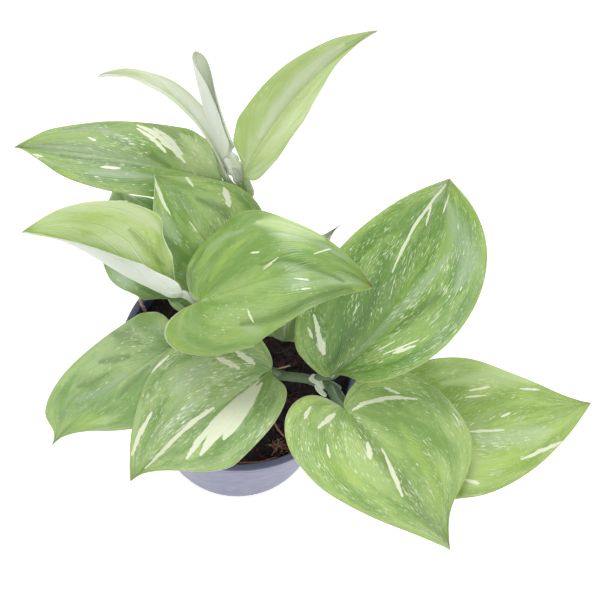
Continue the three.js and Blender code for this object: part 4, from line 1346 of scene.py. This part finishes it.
for k in range(ROOTLETS):
    turn = chance.uniform(0, 2 * math.pi)
    x, y = [at + chance.uniform(-reach, reach) for at, reach in zip(TUFT_AT, TUFT_HALF)]
    curl = []
    for step in range(4):
        curl.append((x, y, chance.uniform(90, 92.6)))
        turn += chance.uniform(-1.3, 1.3)
        x, y = x + 1.8 * math.cos(turn), y + 1.2 * math.sin(turn)
    ROOTS["root_tuft"].append((curl, 0.2, 0.09))
for name, strands in ROOTS.items():
    strands_piece(name + "_fine", strands, ROOT, [name], "root", 10, 30)

FIBRES = 90
FIBRES_OUT_TO = 50
FIBRES_END_AT = 54

fibres = []
for k in range(FIBRES):
    turn, out = chance.uniform(0, 2 * math.pi), FIBRES_OUT_TO * math.sqrt(chance.random())
    x, y, heading = out * math.cos(turn), out * math.sin(turn), chance.uniform(0, 2 * math.pi)
    points = []
    for step in range(5):
        arch = chance.uniform(0.4, 1.8) * (step not in (0, 4))
        points.append((x, y, soil_height(x, y) + arch))
        heading += chance.uniform(-0.6, 0.6)
        reach = chance.uniform(1.5, 4)
        x, y = x + reach * math.cos(heading), y + reach * math.sin(heading)
        if math.hypot(x, y) > FIBRES_END_AT:
            break
    if len(points) > 2:
        fibres.append((points, 0.22, 0.12))
strands_piece("loose_fibres", fibres, FIBRE, [], "root", 6, 16)

# %% Sheaths
SHEATHS = {
    "sheath_end": ([(36, -14.5, 116.5), (40, -17, 117.5), (43, -19.5, 116)], 2.6, 0.35, "young"),
    "sheath_tear": ([(39, -18, 116), (42, -21, 114.5), (44.5, -21.5, 111.5)], 1.5, 0.3, "young"),
    "sheath_dry": ([(17, -13, 113.8), (20.5, -12, 115.4), (25.5, -10.5, 117)], 2.3, 0.35, "dry"),
    "sheath_rear": (
        [(-9, 73.5, 141.5), (-11.2, 75.2, 147), (-14, 76.2, 153), (-17, 79, 160)], 4.2, 0.5, "young",
    ),
}
SHEATH_FINISH = {
    "young": dry_finish("young sheath", paint(234, 238, 228), paint(204, 214, 186), 0.08),
    "dry": dry_finish("dry sheath", paint(170, 168, 134), paint(112, 104, 76), 0.12),
}


def sheath_piece(name, points, wide, thin, look):
    """A flat leftover of the skin that once wrapped a new leaf, drawn in at both ends."""
    total = smooth_row(points, 30)[1][-1]

    def radius(length, angle):
        half = wide * math.sin(math.pi * (0.2 + 0.72 * length / total)) ** 0.7
        half *= 1 + 0.1 * math.sin(0.9 * length)
        return half * thin / math.hypot(thin * math.cos(angle), half * math.sin(angle))

    vertices, faces, marks = tube(points, radius, 40, 60, up=(0.9, 0.4, 0))
    maps = {"vein": np.array(marks) * (2.0, 1.0)}
    mesh_piece(name, vertices, faces, maps, [SHEATH_FINISH[look]], [], "vine")


for name, (points, wide, thin, look) in SHEATHS.items():
    sheath_piece(name, points, wide, thin, look)

# %% Twig
TWIG_POINTS = [(-47, 18, 84), (-50, 18.5, 93), (-51.4, 19.3, 98.4), (-52.9, 20.9, 101.8), (-54.2, 25, 106.5)]
strands_piece("stick_fine", [(TWIG_POINTS, 0.9, 0.7)], TWIG, ["stick"], "stick", 14, 60)

# %% [markdown]
# ## Floor
# The plant stands on plain white. The floor is a wide sheet with a barely
# visible grain. It glows a little, as a lit white table does in a tent, so that
# no grey shadow is left.

# %% Floor
FLOOR_GLOW = 0.5
FLOOR_HALF = 4
CORNERS = [(-1, -1), (1, -1), (1, 1), (-1, 1)]

PAPER, tree, shader = new_finish("white paper")
paper = use_group(tree, "soft mottle", {"Place": put(tree, "TexCoord", out=3), "Size": 0.3, "Contrast": 0.2})
tree.links.new(blend(tree, paper, paint(248, 248, 250), paint(252, 251, 253)), shader["Base Color"])
shader["Roughness"].default_value = 0.9
shader["Emission Color"].default_value = WHITE
shader["Emission Strength"].default_value = FLOOR_GLOW
floor_mesh = bpy.data.meshes.new("floor")
floor_mesh.from_pydata([(x * FLOOR_HALF, y * FLOOR_HALF, 0) for x, y in CORNERS], [], [(0, 1, 2, 3)])
floor_mesh.materials.append(PAPER)
floor = add_object("floor", floor_mesh)

# %% Size
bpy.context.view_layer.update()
triangles = sum(len(p.data.loops) - 2 * len(p.data.polygons) for p in pieces.values())
print("pieces:", len(pieces), "triangles:", triangles)
